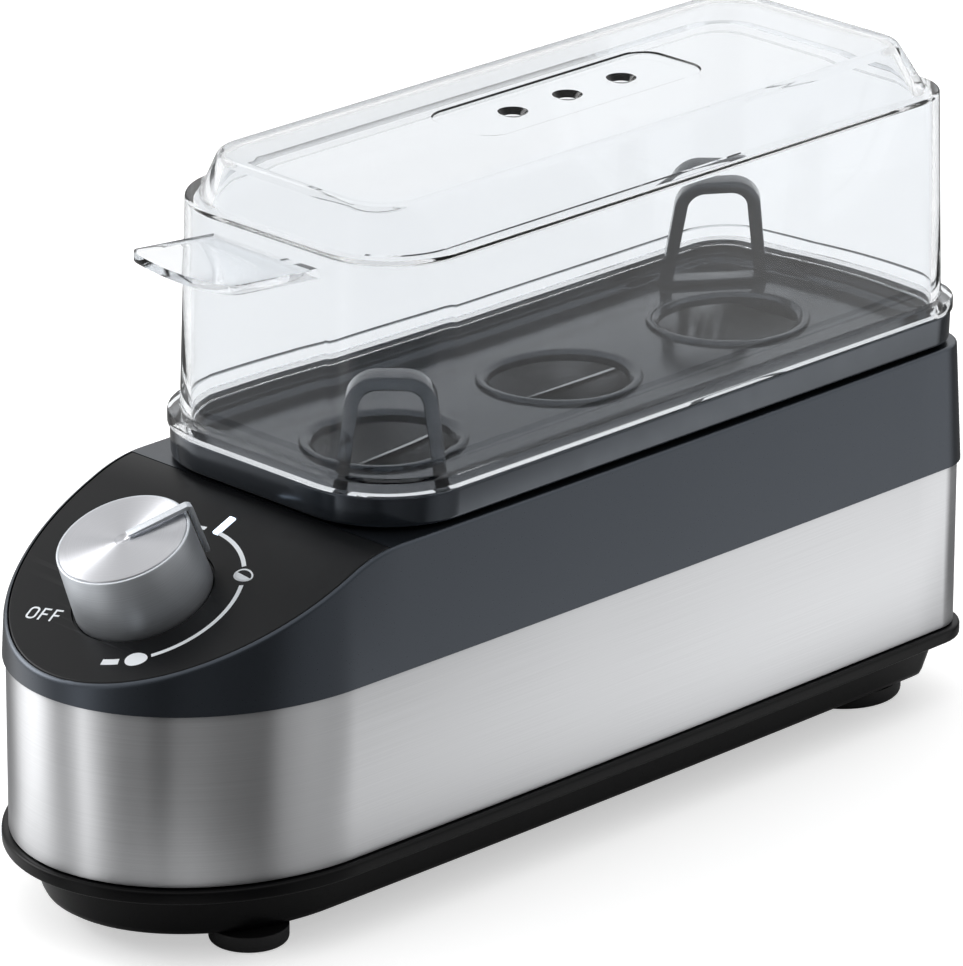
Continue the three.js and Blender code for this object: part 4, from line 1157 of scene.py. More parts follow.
@dataclass
class HousingPart:
    """Upper housing, fascia, light bar and printed scale."""

    finishes: Finishes
    overhang: float = 0.75
    lean: float = 1.45
    wall: float = 3.2
    slab: float = 4.6
    edge: float = 0.8
    fascia_thick: float = 2.0
    fascia_margin: float = 1.1
    fascia_end: float = -60.5
    dish_middle: float = 29.4
    dish_length: float = 74.5
    dish_half: float = 27.2
    dish_corner: float = 12.0
    flange: float = 5.4
    nut_radius: float = 6.2
    knob_well: float = 15.6
    fascia_edge: float = 0.35
    way_depth: float = 3.0
    nut_depth: float = 12.0
    lens: tuple[float, float, float, float] = (21.4, 27.0, -1.65, 0.05)
    lens_height: Pair = (-6.0, 0.2)
    lens_edge: float = 0.18
    print_foot: float = 0.012
    print_lift: float = 0.045
    scale_radius: float = 21.8
    scale_line: float = 0.95
    scale_arcs: tuple[Pair, ...] = ((6, 11), (-4, -43), (-59.5, -130.5))
    dash: Pair = (-149, -159)
    dash_line: float = 1.7
    egg_long: float = 2.5
    egg_wide: float = 1.85
    egg_line: float = 0.42
    soft_egg: Pair = (-51, -96)
    soft_fill: Pair = (2.3, 1.65)
    hard_egg: Pair = (-139, -60)
    hard_wide: float = 2.0
    off_middle: Pair = (-14.4, 15.9)
    off_turn: float = -76.0

    def leaning(self, extra: float, height: Callable[[float], float], end: float | None = None) -> Ring:
        """Lays a ring on the housing's leaning wall, at a height that changes along the body.

        Args:
            extra: how far the ring is set in.
            height: height at x.
            end: x of a square rear end, or none.

        Returns:
            The ring's points.
        """
        low = PLAN.outline(extra - self.overhang, end)
        high = PLAN.outline(extra - self.overhang + self.lean, end)
        ring: Ring = []
        for (x0, y0), (x1, y1) in zip(low, high):
            x, y, z = x0, y0, height(x0)
            # The place depends on the height and the height on the place: three rounds settle them.
            for _ in range(3):
                share = (z - Z.housing_bottom) / (Z.deck - Z.housing_bottom)
                x, y = lerp(x0, x1, share), lerp(y0, y1, share)
                z = height(x)
            ring.append(Vector((x, y, z)))
        return ring

    def capped(self, name: str, bottom: Callable[[float], float], top: Callable[[float], float], margin: float,
               edge: float, end: float | None = None) -> Object:
        """Builds a closed body between two heights that follow the panel, with its upper edge rounded.

        Args:
            name: name of the object.
            bottom: lower height at x.
            top: upper height at x.
            margin: how far it is set in from the housing's side.
            edge: radius of the upper edge.
            end: x of a square rear end, or none.

        Returns:
            The body.
        """
        rings = [self.leaning(margin, bottom, end), self.leaning(margin, lambda x: top(x) - edge, end)]
        steps = 5
        for k in range(1, steps + 1):
            angle = k / steps * math.pi / 2
            inset, below = edge * (1 - math.cos(angle)), edge * (1 - math.sin(angle))
            rings.append(self.leaning(margin + inset, lambda x, below=below: top(x) - below, end))
        return Shape().loft(rings, Cap.STRIPS).to_object(name)

    def dish_outline(self, inset: float) -> Outline:
        """Draws the outline of the water dish.

        Args:
            inset: how far it is drawn in.

        Returns:
            The outline's points.
        """
        corner = max(self.dish_corner - inset, LEAST_RADIUS)
        return oblong(self.dish_middle - self.dish_length + inset, self.dish_middle + self.dish_length - inset,
                      self.dish_half - inset, corner, corner, 14)

    def lens_block(self, gap: float, low: float, high: float) -> Shape:
        """Returns the light bar's block in the panel's frame, grown by gap."""
        u0, u1, v0, v1 = self.lens
        return block(u0 - gap, u1 + gap, v0 - gap, v1 + gap, low, high)

    def knob_cutters(self, deep: float) -> list[Object]:
        """Builds the cutters for the regulator's nut and the light bar.

        Args:
            deep: how far they go below the panel.

        Returns:
            The cutters.
        """
        parts = {"nut_way": pin(self.nut_radius + FIT, -deep, self.way_depth, 48),
                 "lens_way": self.lens_block(FIT, -deep, self.way_depth)}
        return [on_panel(name, part) for name, part in parts.items()]

    def housing(self) -> None:
        """Builds the housing: leaning wall, deck with its rebate, and the fascia's bed."""
        bed, above = self.fascia_thick + FIT, 4.0

        def roof(x: float) -> float:
            """Returns the height of the hollow's roof at x."""
            return min(Z.deck - self.slab, SLOPE.height(x) - bed - self.wall)

        made = self.capped("housing_shell", lambda x: Z.housing_bottom, SLOPE.height, 0.0, self.edge)
        hollow = Shape().loft([self.leaning(self.wall, lambda x: Z.housing_bottom - PAST),
                               self.leaning(self.wall, roof)], Cap.STRIPS).to_object("hollow")
        margin, end = self.fascia_margin - FIT, self.fascia_end + FIT
        cutter = Shape().loft([self.leaning(margin, lambda x: SLOPE.height(x) - bed, end),
                               self.leaning(margin, lambda x: SLOPE.height(x) + above, end)],
                              Cap.STRIPS).to_object("bed")
        over = Z.deck + self.way_depth
        rebate = prism(self.dish_outline(-self.flange - FIT),
                       Z.deck - FIT - Z.dish_flange - FIT - Z.dish_seal - FIT, over).to_object("rebate")
        way = prism(self.dish_outline(-FIT), Z.deck - self.slab - 2 * PAST, over).to_object("dish_way")
        work_on(made, Cut.AWAY, hollow, cutter, rebate, way, *self.knob_cutters(self.nut_depth))
        dress(made, self.finishes.housing, Body.BASE, ["upper_housing"])

    def fascia(self) -> None:
        """Builds the fascia that lies in the sloped panel, with the knob's well and the light bar's slot."""
        made = self.capped("fascia_plate", lambda x: SLOPE.height(x) - self.fascia_thick, SLOPE.height,
                           self.fascia_margin, self.fascia_edge, self.fascia_end)
        radius, mouth, over = self.knob_well, self.knob_well + 0.5, self.way_depth
        profile = soften([(0, -1, 0), (radius, -1, 0.3), (radius, 0, 0.0), (mouth, 0.5, 0), (mouth, over, 0),
                          (0, over, 0)], 3, False)
        well = on_panel("well", Shape().turned(profile, 96))
        work_on(made, Cut.AWAY, well, *self.knob_cutters(self.nut_depth / 2))
        dress(made, self.finishes.fascia, Body.BASE, ["control_panel"])

    def light_bar(self) -> None:
        """Builds the lit bar at the middle of the scale."""
        made = ease_edges(on_panel("light_bar", self.lens_block(0, *self.lens_height)), self.lens_edge)
        dress(made, self.finishes.light, Body.BASE, ["indicator_lens"])

    def printed(self, name: str, *shapes: Outline) -> None:
        """Lays printed shapes on the fascia as one thin film.

        Args:
            name: name of the piece.
            shapes: closed outlines in the panel's frame.
        """
        film = Shape()
        for shape in shapes:
            film.loft([raised(shape, self.print_foot), raised(shape, self.print_lift)])
        dress(on_panel(name, film), self.finishes.ink, Body.BASE)

    def arc(self, start: float, end: float, width: float) -> Outline:
        """Draws a stretch of the scale.

        Args:
            start: angle of one end in degrees.
            end: angle of the other end in degrees.
            width: width of the line.

        Returns:
            The stretch's outline.
        """
        degrees_per_step = 3
        steps = max(3, int(abs(end - start) / degrees_per_step))
        angles = [math.radians(lerp(start, end, i / steps)) for i in range(steps + 1)]
        outer, inner = self.scale_radius + width / 2, self.scale_radius - width / 2
        return ([(outer * math.cos(a), outer * math.sin(a)) for a in angles]
                + [(inner * math.cos(a), inner * math.sin(a)) for a in reversed(angles)])

    def egg(self, angle: float, long: float, wide: float, turn: float, span: Pair = (0.0, 360.0)) -> Outline:
        """Draws an egg mark on the scale, or the part of it between two angles.

        Args:
            angle: its place on the scale in degrees.
            long: half length.
            wide: half width.
            turn: direction of its long axis in degrees.
            span: part of its outline in degrees.

        Returns:
            The outline's points.
        """
        at, lean, steps, taper = math.radians(angle), math.radians(turn), 28, 0.12
        middle = Vector((self.scale_radius * math.cos(at), self.scale_radius * math.sin(at)))
        c, s = math.cos(lean), math.sin(lean)
        points: Outline = []
        for i in range(steps + 1):
            a = math.radians(lerp(span[0], span[1], i / steps))
            u, v = long * math.cos(a), wide * math.sin(a) * (1 - taper * math.cos(a))
            points.append((middle.x + u * c - v * s, middle.y + u * s + v * c))
        return points[:-1] if span[1] - span[0] >= 360 else points

    def egg_ring(self, angle: float, turn: float) -> Outline:
        """Draws a hollow egg mark, opened along a hair line so that it is one outline.

        Args:
            angle: its place on the scale in degrees.
            turn: direction of its long axis in degrees.

        Returns:
            The outline's points.
        """
        open_ring = (0.5, 359.5)
        outer = self.egg(angle, self.egg_long, self.egg_wide, turn, open_ring)
        inner = self.egg(angle, self.egg_long - self.egg_line, self.egg_wide - self.egg_line, turn, open_ring)
        return outer + inner[::-1]

    def word(self, middle: Pair, turn: float, height: float, width: float, gap: float, line: float) -> list[Outline]:
        """Draws the word OFF in plain strokes.

        Args:
            middle: centre of the word in the panel's frame.
            turn: direction in which it reads, in degrees.
            height: height of the letters.
            width: width of a letter.
            gap: space between letters.
            line: width of the strokes.

        Returns:
            Closed outlines.
        """
        shapes: list[Outline] = []
        total = 3 * width + 2 * gap
        c, s = math.cos(math.radians(turn)), math.sin(math.radians(turn))

        def put(points: Sequence[Pair]) -> None:
            """Turns letter points into the panel's frame."""
            shapes.append([(middle[0] + (x - total / 2) * c - (y - height / 2) * s,
                            middle[1] + (x - total / 2) * s + (y - height / 2) * c) for x, y in points])

        # The O is a little wider than the Fs, and an F's middle bar is shorter than its top bar.
        wider, top_share, bar_share = 0.35, 0.88, 0.8
        round_width = width + wider
        outer = oblong(0, round_width, height / 2, width / 2, width / 2, 8)
        inner = oblong(line, round_width - line, height / 2 - line, width / 2 - line, width / 2 - line, 8)
        outer, inner = ([(x, y + height / 2) for x, y in ring] for ring in (outer, inner))
        for low, high in ((0, len(outer) // 2), (len(outer) // 2, len(outer))):
            part = [outer[i % len(outer)] for i in range(low, high + 1)]
            back = [inner[i % len(inner)] for i in range(low, high + 1)]
            put(part + back[::-1])
        for k in (1, 2):
            x = k * (width + gap) + wider
            stem, top_end, bar_end, bar = x + line, x + width * top_share, x + width * bar_share, height * 0.5
            put([(x, 0), (stem, 0), (stem, height), (x, height)])
            put([(stem, height - line), (top_end, height - line), (top_end, height), (stem, height)])
            put([(stem, bar - line / 2), (bar_end, bar - line / 2), (bar_end, bar + line / 2),
                 (stem, bar + line / 2)])
        return shapes

    def scale(self) -> None:
        """Prints the scale, the two egg marks, the dash and the word at its end."""
        self.printed("scale_arcs", *(self.arc(start, end, self.scale_line) for start, end in self.scale_arcs),
                     self.arc(*self.dash, self.dash_line))
        angle, turn = self.soft_egg
        # The lower half of the soft egg is filled, a little inside the ring's outline.
        self.printed("scale_soft_egg", self.egg_ring(angle, turn),
                     self.egg(angle, *self.soft_fill, turn, (180, 360)))
        angle, turn = self.hard_egg
        self.printed("scale_hard_egg", self.egg(angle, self.egg_long, self.hard_wide, turn))
        self.printed("scale_off", *self.word(self.off_middle, self.off_turn, height=3.7, width=2.15, gap=0.75,
                                             line=0.48))

    def build(self) -> None:
        """Builds the whole sub-assembly."""
        self.housing()
        self.fascia()
        self.light_bar()
        self.scale()


@dataclass
class KnobPart:
    """Satin knob with its spun face and the pointer bar over it."""

    finishes: Finishes
    turn: float = math.radians(-27)
    radius: float = 15.0
    top_radius: float = 14.4
    height: float = 14.5
    foot: float = -0.7
    cap_radius: float = 13.5
    cap_seat: float = 13.9
    cap_top: float = 14.8
    skin: float = 1.6
    boss: Corner = (5.0, 2.4, 12.6)
    spindle_way: Corner = (3.3, 1.0, 9.3)
    face_gap: float = 0.03
    face_rim: tuple[Pair, ...] = ((0.0, 0.25), (0.12, 0.07), (0.35, 0.0))
    face_radii: tuple[float, ...] = (12.0, 10.0, 8.0, 6.0, 4.5, 3.2, 2.3)
    face_hollow: float = 0.16
    dimple: tuple[Pair, ...] = ((1.75, 0.17), (1.55, 0.3), (1.2, 0.45), (0.7, 0.54), (0.0, 0.57))
    pointer_width: float = 2.0
    pointer_drop: float = 11.6
    pointer_start: float = 1.2
    pointer_thick: float = 1.05
    pointer_clear: float = 0.15
    pointer_edge: float = 0.22
    sharp: float = 25.0
    sides: int = 128
    uv_per_radian: float = 4.0

    def lay_around(self, thing: Object) -> Object:
        """Gives a turned piece a UV that runs round the knob's axis, and outwards and down in millimetres.

        Args:
            thing: piece in place on the panel.

        Returns:
            The piece.
        """
        back = SLOPE.matrix().inverted()
        mesh = thing.data
        layer = mesh.uv_layers.new(name="around")
        for face in mesh.polygons:
            middle = back @ (face.center / MM)
            base = math.atan2(middle.y, middle.x)
            for loop in face.loop_indices:
                point = back @ (mesh.vertices[mesh.loops[loop].vertex_index].co / MM)
                angle = math.atan2(point.y, point.x) if point.xy.length > 0.01 else base
                angle += 2 * math.pi * round((base - angle) / (2 * math.pi))
                layer.data[loop].uv = (angle * self.uv_per_radian, point.xy.length - point.z)
        return thing

    def shell(self) -> None:
        """Builds the knob's cup."""
        seat, mouth, skin = self.cap_seat - FIT, self.cap_radius + FIT, self.skin
        profile = soften([
            (0, seat - skin, 0), (self.top_radius - skin, seat - skin, 0.8), (self.radius - skin, self.foot, 0.2),
            (self.radius, self.foot, 0.3), (self.top_radius, self.height, 0.5), (mouth, self.height, 0.15),
            (mouth, seat, 0.05), (0, seat, 0)], 5, False)
        made = on_panel("knob_cup", Shape().turned(profile, self.sides), self.turn)
        work_on(made, Cut.JOIN, on_panel("boss", pin(*self.boss, 48)))
        work_on(made, Cut.AWAY, on_panel("spindle_way", pin(*self.spindle_way)))
        dress(self.lay_around(made), self.finishes.knob_side, Body.KNOB, ["knob_shell"], self.sharp)

    def face(self) -> None:
        """Builds the spun face, slightly hollow, with the lathe centre's dimple."""
        edge, top = self.cap_radius + FIT - self.face_gap, self.cap_top
        rows: list[Pair] = [(0, self.cap_seat), (edge, self.cap_seat)]
        rows += [(edge - inset, top - drop) for inset, drop in self.face_rim]
        rows += [(r, top - self.face_hollow * (1 - (r / self.cap_radius) ** 2)) for r in self.face_radii]
        rows += [(r, top - drop) for r, drop in self.dimple]
        made = on_panel("knob_face", Shape().turned(rows, self.sides), self.turn)
        dress(self.lay_around(made), self.finishes.knob_face, Body.KNOB, ["knob_cap"], self.sharp)

    def side_at(self, z: float) -> float:
        """Returns the radius at which the pointer lies along the knob's leaning side, at one height."""
        return lerp(self.radius, self.top_radius + self.pointer_clear, z / self.height) + FIT

    def pointer(self) -> None:
        """Builds the pointer: a bar over the face that bends over the rim and runs down the side."""
        seat, half = self.cap_top + FIT, self.pointer_width / 2
        foot, bend = seat - self.pointer_drop, self.side_at(self.height)
        side = soften([
            (self.pointer_start, seat, 0.1), (bend, seat, 0.2), (self.side_at(foot), foot, 0.1),
            (self.side_at(foot) + self.pointer_thick, foot, 0.5), (bend + self.pointer_thick, seat + 0.45, 0.9),
            (bend, seat + self.pointer_thick, 0.6), (self.pointer_start, seat + 0.35, 0.15)], 3)
        rings = [[Vector((r, v, z)) for r, z in side] for v in (-half, half)]
        made = ease_edges(on_panel("pointer", Shape().loft(rings), self.turn), self.pointer_edge, 2, 50)
        dress(self.lay_around(made), self.finishes.knob_side, Body.KNOB, ["pointer_bar"])

    def build(self) -> None:
        """Builds the whole sub-assembly."""
        self.shell()
        self.face()
        self.pointer()


@dataclass
class TrayPart:
    """Egg tray with its collar, stepped rim, seats and two handles, and the water dish below it."""

    finishes: Finishes
    front: float = -61.7
    rear: float = 118.7
    half: float = 39.1
    front_radius: float = 21.8
    rear_radius: float = 11.4
    rim: float = 2.5
    ledge_drop: float = 3.8
    ledge_width: float = 2.1
    ledge_draft: float = 0.5
    seats: tuple[float, ...] = (-23.6, 29.4, 82.4)
    seat_radius: float = 16.5
    seat_lip: float = 1.6
    lip_height: float = 1.0
    handle_half: float = 12.2
    handle_top_half: float = 9.8
    handle_bar: float = 3.0
    handle_thick: float = 6.4
    handle_rise: float = 27.0
    handle_radius: float = 7.0
    handle_edge: float = 0.55
    tenon_top: float = 1.0
    tenon_low: float = -1.4
    socket_low: float = -1.7
    skirt: Pair = (1.4, 2.7)
    skirt_drop: float = 3.7
    dish_depth: float = 16.0
    dish_sheet: float = 0.8
    dish_draft: float = 3.2
    dish_floor: float = 14.0
    handles: tuple[tuple[str, float, float], ...] = (("near", -43.5, -22.3), ("far", 100.5, 22.3))

    def collar(self, side: float, z: float) -> Ring:
        """Draws a ring of the collar.

        Args:
            side: how far it is drawn in.
            z: its height.

        Returns:
            The ring's points.
        """
        return raised(oblong(self.front + side, self.rear - side, self.half - side,
                             max(self.front_radius - side, LEAST_RADIUS), max(self.rear_radius - side, LEAST_RADIUS),
                             16), z)

    def at_seats(self, name: str, profile: Sequence[Pair]) -> list[Object]:
        """Turns one profile about the axis of every egg seat.

        Args:
            name: name of the objects.
            profile: radius and height pairs, from the axis to the axis.

        Returns:
            The objects.
        """
        return [Shape().turned(profile, 96).moved(Matrix.Translation((x, 0, 0))).to_object(name) for x in self.seats]

    def tray(self, housing: HousingPart) -> None:
        """Builds the tray in one moulding.

        Args:
            housing: part that knows the dish's outline.
        """
        ledge, step = self.rim + self.ledge_width, Z.collar_top - self.ledge_drop
        under, floor, seat = Z.tray_under, Z.tray_floor, self.seat_radius
        levels = soften([
            (ledge + 4, under, 0), (ledge, under, 0.3), (0.2, Z.collar_bottom, 1.0), (0, Z.collar_top, 0.5),
            (self.rim, Z.collar_top, 0.4), (self.rim, step, 0.35), (ledge, step, 0.4),
            (ledge + self.ledge_draft, floor, 0.7), (ledge + 5, floor, 0)], 5, False)
        made = Shape().loft([self.collar(inset, z) for inset, z in levels]).to_object("tray_moulding")
        (outer, inner), low, high = self.skirt, under - self.skirt_drop, under + 0.6
        walls = soften([(outer, low, 0.3), (outer, high, 0), (inner, high, 0), (inner, low, 0.3)], 3)
        skirt = Shape().loft([raised(housing.dish_outline(inset), z) for inset, z in walls],
                             Cap.LOOP).to_object("skirt")
        lips = self.at_seats("lip", soften([
            (0, floor - 0.6, 0), (seat + self.seat_lip + 0.5, floor - 0.6, 0),
            (seat + self.seat_lip, floor + self.lip_height, 0.5), (0, floor + self.lip_height, 0)], 4, False))
        work_on(made, Cut.JOIN, skirt, *lips)
        ways = self.at_seats("seat_way", [
            (0, under - PAST), (seat - 1, under - PAST), (seat - 0.9, floor), (seat, floor + 0.75),
            (seat + 0.5, floor + 1.02), (seat + 0.5, floor + 3), (0, floor + 3)])
        sockets = [self.leg(x, y, side, FIT, self.socket_low) for _, x, y in self.handles for side in (-1, 1)]
        work_on(made, Cut.AWAY, *ways, *sockets)
        dress(made, self.finishes.tray, Body.TRAY, ["egg_tray"])

    def turned_to(self, x: float, y: float) -> Matrix:
        """Returns the place of a handle that stands square to the tray's diagonal."""
        return Matrix.Translation((x, y, Z.tray_floor + FIT)) @ Matrix.Rotation(-math.pi / 4, 4, "Z")

    def leg(self, x: float, y: float, side: int, gap: float, low: float) -> Object:
        """Builds the tenon of one leg, grown by a gap.

        Args:
            x: the handle's place along the tray.
            y: its place across the tray.
            side: which leg.
            gap: growth on each face.
            low: lower end over the handle's foot.

        Returns:
            The tenon.
        """
        middle, wide = side * (self.handle_half - self.handle_bar / 2), self.handle_bar / 2 - 0.3 + gap
        deep = self.handle_thick / 2 - 0.6 + gap
        tenon = block(middle - wide, middle + wide, -deep, deep, low, self.tenon_top)
        return tenon.moved(self.turned_to(x, y)).to_object("tenon")

    def handle(self, name: str, x: float, y: float) -> None:
        """Builds one arch handle, its edges rounded.

        Args:
            name: which handle.
            x: place along the tray.
            y: place across the tray.
        """
        def frame_line(offset: float, depth: float) -> Ring:
            """Draws the frame's outline.

            Args:
                offset: how far it is drawn in.
                depth: its place through the handle's thickness.

            Returns:
                The outline's points.
            """
            foot, half = self.handle_half - offset, self.handle_top_half - offset
            top, radius = self.handle_rise - offset, self.handle_radius - offset
            low, steps = offset * 0.5, 12
            points: Outline = [(-foot, low), (foot, low)]
            for start, mx in ((0.0, half - radius), (math.pi / 2, radius - half)):
                for i in range(steps + 1):
                    a = start + i / steps * math.pi / 2
                    points.append((mx + radius * math.cos(a), top - radius + radius * math.sin(a)))
            return [Vector((u, depth, w)) for u, w in points]

        deep, bar, edge = self.handle_thick / 2, self.handle_bar, self.handle_edge
        section = soften([(0, -deep, edge), (0, deep, edge), (bar, deep, edge), (bar, -deep, edge)], 4)
        made = Shape().loft([frame_line(offset, depth) for offset, depth in section], Cap.LOOP)
        thing = made.moved(self.turned_to(x, y)).to_object(f"tray_arch_{name}")
        work_on(thing, Cut.JOIN, *(self.leg(x, y, side, 0, self.tenon_low) for side in (-1, 1)))
        dress(thing, self.finishes.tray, Body.TRAY, [f"tray_handle_{name}"])

    def dish(self, housing: HousingPart) -> None:
        """Builds the pressed water dish with its flange.

        Args:
            housing: part that knows the dish's outline.
        """
        top, sheet, draft = Z.deck - FIT, self.dish_sheet, self.dish_draft
        bottom, under = top - self.dish_depth, top - Z.dish_flange
        levels = soften([
            (self.dish_floor, bottom, 0), (draft, bottom, 2.6), (0, under, 0.6), (-housing.flange, under, 0.2),
            (-housing.flange, top, 0.3), (sheet, top, 0.9), (draft + sheet, bottom + sheet, 2.0),
            (self.dish_floor, bottom + sheet, 0)], 6, False)
        made = Shape().loft([raised(housing.dish_outline(inset), z) for inset, z in levels]).to_object("pressed_dish")
        dress(made, self.finishes.dish, Body.BASE, ["water_dish"])

    def build(self, housing: HousingPart) -> None:
        """Builds the whole sub-assembly.

        Args:
            housing: part that knows the dish's outline.
        """
        self.dish(housing)
        self.tray(housing)
        for handle in self.handles:
            self.handle(*handle)


@dataclass
class LidPart:
    """Clear lid: spigot, brim, leaning wall, shoulder, raised top with its recess and holes, and the front tab.

    The foot, the shoulder and the crown are given as setbacks from the tray's collar at the side, the front and
    the rear; the radii are those of the front and the rear corners.
    """

    finishes: Finishes
    wall: float = 1.8
    brim_bottom: float = 91.85
    brim_top: float = 95.05
    brim_reach: float = 0.5
    spigot_inset: float = 2.8
    spigot_drop: float = 1.2
    shoulder_z: float = 141.5
    shoulder_round: float = 0.7
    ledge: float = 2.3
    foot: Corner = (1.7, 3.0, 1.4)
    shoulder: Corner = (2.7, 4.0, 2.25)
    crown: Corner = (11.6, 10.5, 8.2)
    crown_radii: Pair = (9.4, 7.7)
    shoulder_radii: Pair = (19.1, 11.4)
    top: float = 152.2
    top_drop: float = 0.8
    top_round: float = 1.2
    recess: tuple[float, float, float, float] = (30.9, 34.0, 10.5, 6.0)
    recess_depth: float = 0.4
    holes: tuple[float, ...] = (14.4, 30.9, 47.4)
    hole_radius: float = 2.5
    hole_mouth: float = 0.8
    hole_neck: float = -0.3
    tab_half: float = 15.9
    tab_reach: float = 24.0
    tab_thick: float = 2.0
    tab_corner: float = 2.4
    tab_lift: float = 2.2
    tab_dish: float = 1.5
    tab_drop: float = 3.4
    tab_outs: tuple[float, ...] = (-0.9, 2.0, 6.0, 10.0, 14.0, 17.0)
    tab_edge: float = 0.35

    def ring(self, z: float, sets: Corner, radii: Pair, extra: float = 0.0) -> Ring:
        """Draws a ring of the lid at one height.

        Args:
            z: height.
            sets: setbacks from the tray's collar at the side, front and rear.
            radii: radii of the front and rear corners.
            extra: further setback all round.

        Returns:
            The ring's points.
        """
        side, front, rear = (s + extra for s in sets)
        return raised(oblong(TrayPart.front + front, TrayPart.rear - rear, TrayPart.half - side,
                             max(radii[0] - extra, LEAST_RADIUS), max(radii[1] - extra, LEAST_RADIUS), 16), z)

    def between(self, share: float, extra: float, z: float) -> Ring:
        """Draws a ring on the slope from the shoulder's ledge to the crown's edge.

        Args:
            share: how far up the slope it lies.
            extra: further setback all round.
            z: its height.

        Returns:
            The ring's points.
        """
        step = self.shoulder_round + self.ledge
        sets = tuple(lerp(a + step, b, share) for a, b in zip(self.shoulder, self.crown))
        radii = tuple(lerp(a - step, b, share) for a, b in zip(self.shoulder_radii, self.crown_radii))
        return self.ring(z, sets, (radii[0] + extra, radii[1] + extra), extra)

    def side(self, share: float, extra: float, z: float) -> Ring:
        """Returns a ring on the leaning wall, at a share of the way up."""
        sets = tuple(lerp(a, b, share) for a, b in zip(self.foot, self.shoulder))
        return self.ring(z, sets, self.shoulder_radii, extra)

    def shell(self) -> Shape:
        """Builds the shell, from the inner skin's middle round the spigot to the outer skin's middle.

        Returns:
            The shell.
        """
        plain: Corner = (0.0, 0.0, 0.0)
        collar = (TrayPart.front_radius, TrayPart.rear_radius)
        wall, sz, sr, top_round = self.wall, self.shoulder_z, self.shoulder_round, self.top_round
        spigot, reach, low = self.spigot_inset, self.brim_reach, self.brim_bottom
        foot, edge = low - self.spigot_drop, self.top - self.top_drop
        rings = [
            self.between(1, top_round + wall + 4, self.top - wall),
            self.between(1, top_round + wall, self.top - wall),
            self.between(1, top_round / 2 + wall, self.top - self.top_drop * 0.2 - wall),
            self.between(1, wall * 0.6, edge - wall),
            self.between(0, wall, sz + sr - wall),
            self.side(1, wall + sr, sz + sr - wall),
            self.side(1, wall + sr * 0.3, sz + sr * 0.7 - wall),
            self.side(1, wall, sz - wall),
            self.side(0.5, wall, (sz + self.brim_top) / 2),
            self.side(0, wall, self.brim_top),
            self.ring(foot + 0.3, plain, collar, spigot + wall),
            self.ring(foot, plain, collar, spigot + wall - 0.3),
            self.ring(foot, plain, collar, spigot + 0.3),
            self.ring(foot + 0.3, plain, collar, spigot),
            self.ring(low, plain, collar, spigot),
            self.ring(low, plain, collar, -reach + 0.35),
            self.ring(low + 0.1, plain, collar, -reach + 0.1),
            self.ring(low + 0.35, plain, collar, -reach),
            self.ring(self.brim_top - 0.7, plain, collar, -reach),
            self.ring(self.brim_top - 0.2, plain, collar, -reach + 0.2),
            self.ring(self.brim_top, plain, collar, -reach + 0.7),
            self.side(0, -0.5, self.brim_top),
            self.side(0, -0.12, self.brim_top + 0.15),
            self.side(0.01, 0, self.brim_top + 0.55),
            self.side(0.5, 0, (sz + self.brim_top) / 2),
        ]
        steps = 6
        for k in range(steps + 1):
            a = k / steps * math.pi / 2
            rings.append(self.side(1, sr * (1 - math.cos(a)), sz + sr * math.sin(a)))
        rings += [self.between(0, -0.25, sz + sr), self.between(0.02, 0, sz + sr + 0.2),
                  self.between(0.97, 0, edge - 0.3), self.between(1, 0.1, edge + 0.15),
                  self.between(1, top_round * 0.3, self.top - self.top_drop * 0.5),
                  self.between(1, top_round * 0.6, self.top - self.top_drop * 0.18),
                  self.between(1, top_round, self.top), self.between(1, top_round + 4, self.top)]
        return Shape().loft(rings)

    def tab(self) -> Shape:
        """Builds the dished tab at the front.

        Returns:
            The tab.
        """
        wall_x, root = TrayPart.front + self.shoulder[1], self.shoulder_z - self.tab_drop
        corner, steps, spans = self.tab_corner, 8, 20
        bend = self.tab_reach - corner
        outs = [*self.tab_outs, bend]
        outs += [self.tab_reach - corner * (1 - math.sin(k / steps * math.pi / 2)) for k in range(1, steps + 1)]
        rings: list[Ring] = []
        for out in outs:
            half = self.tab_half - corner + math.sqrt(max(corner**2 - max(out - bend, 0) ** 2, 0))
            rise = self.tab_lift * out / self.tab_reach
            upper: Ring = []
            for i in range(spans + 1):
                v = lerp(-half, half, i / spans)
                sag = self.tab_dish * (1 - (v / self.tab_half) ** 2) * max(out / self.tab_reach, 0)
                upper.append(Vector((wall_x - out, v, root + rise - sag)))
            rings.append(upper + [Vector((p.x, p.y, p.z - self.tab_thick)) for p in reversed(upper)])
        return Shape().loft(rings)

    def build(self) -> None:
        """Builds the lid."""
        made = self.shell().to_object("clear_lid")
        work_on(made, Cut.JOIN, ease_edges(self.tab().to_object("tab"), self.tab_edge, 2, 50))
        middle, length, half, corner = self.recess
        floor = self.top - self.recess_depth
        recess = Shape().loft([
            raised(oblong(middle - length + inset, middle + length - inset, half - inset, corner - inset,
                          corner - inset, 10), z)
            for inset, z in ((0.3, floor), (0, floor + 0.3), (0, self.top + PAST))]).to_object("recess")
        neck, mouth = self.hole_radius + self.hole_neck, self.hole_radius + self.hole_mouth
        profile = soften([(0, floor - 3, 0), (neck, floor - 3, 0), (neck, floor - 1.3, 0.2), (mouth, floor, 0),
                          (mouth, floor + 2, 0), (0, floor + 2, 0)], 4, False)
        hole = Shape().turned(profile, 48).to_object("hole")
        holes = repeat("steam_holes", [(x, 0, 0) for x in self.holes], hole, self.finishes.clear)
        work_on(made, Cut.AWAY, recess, holes)
        dress(made, self.finishes.clear, Body.LID, ["lid"], 24)


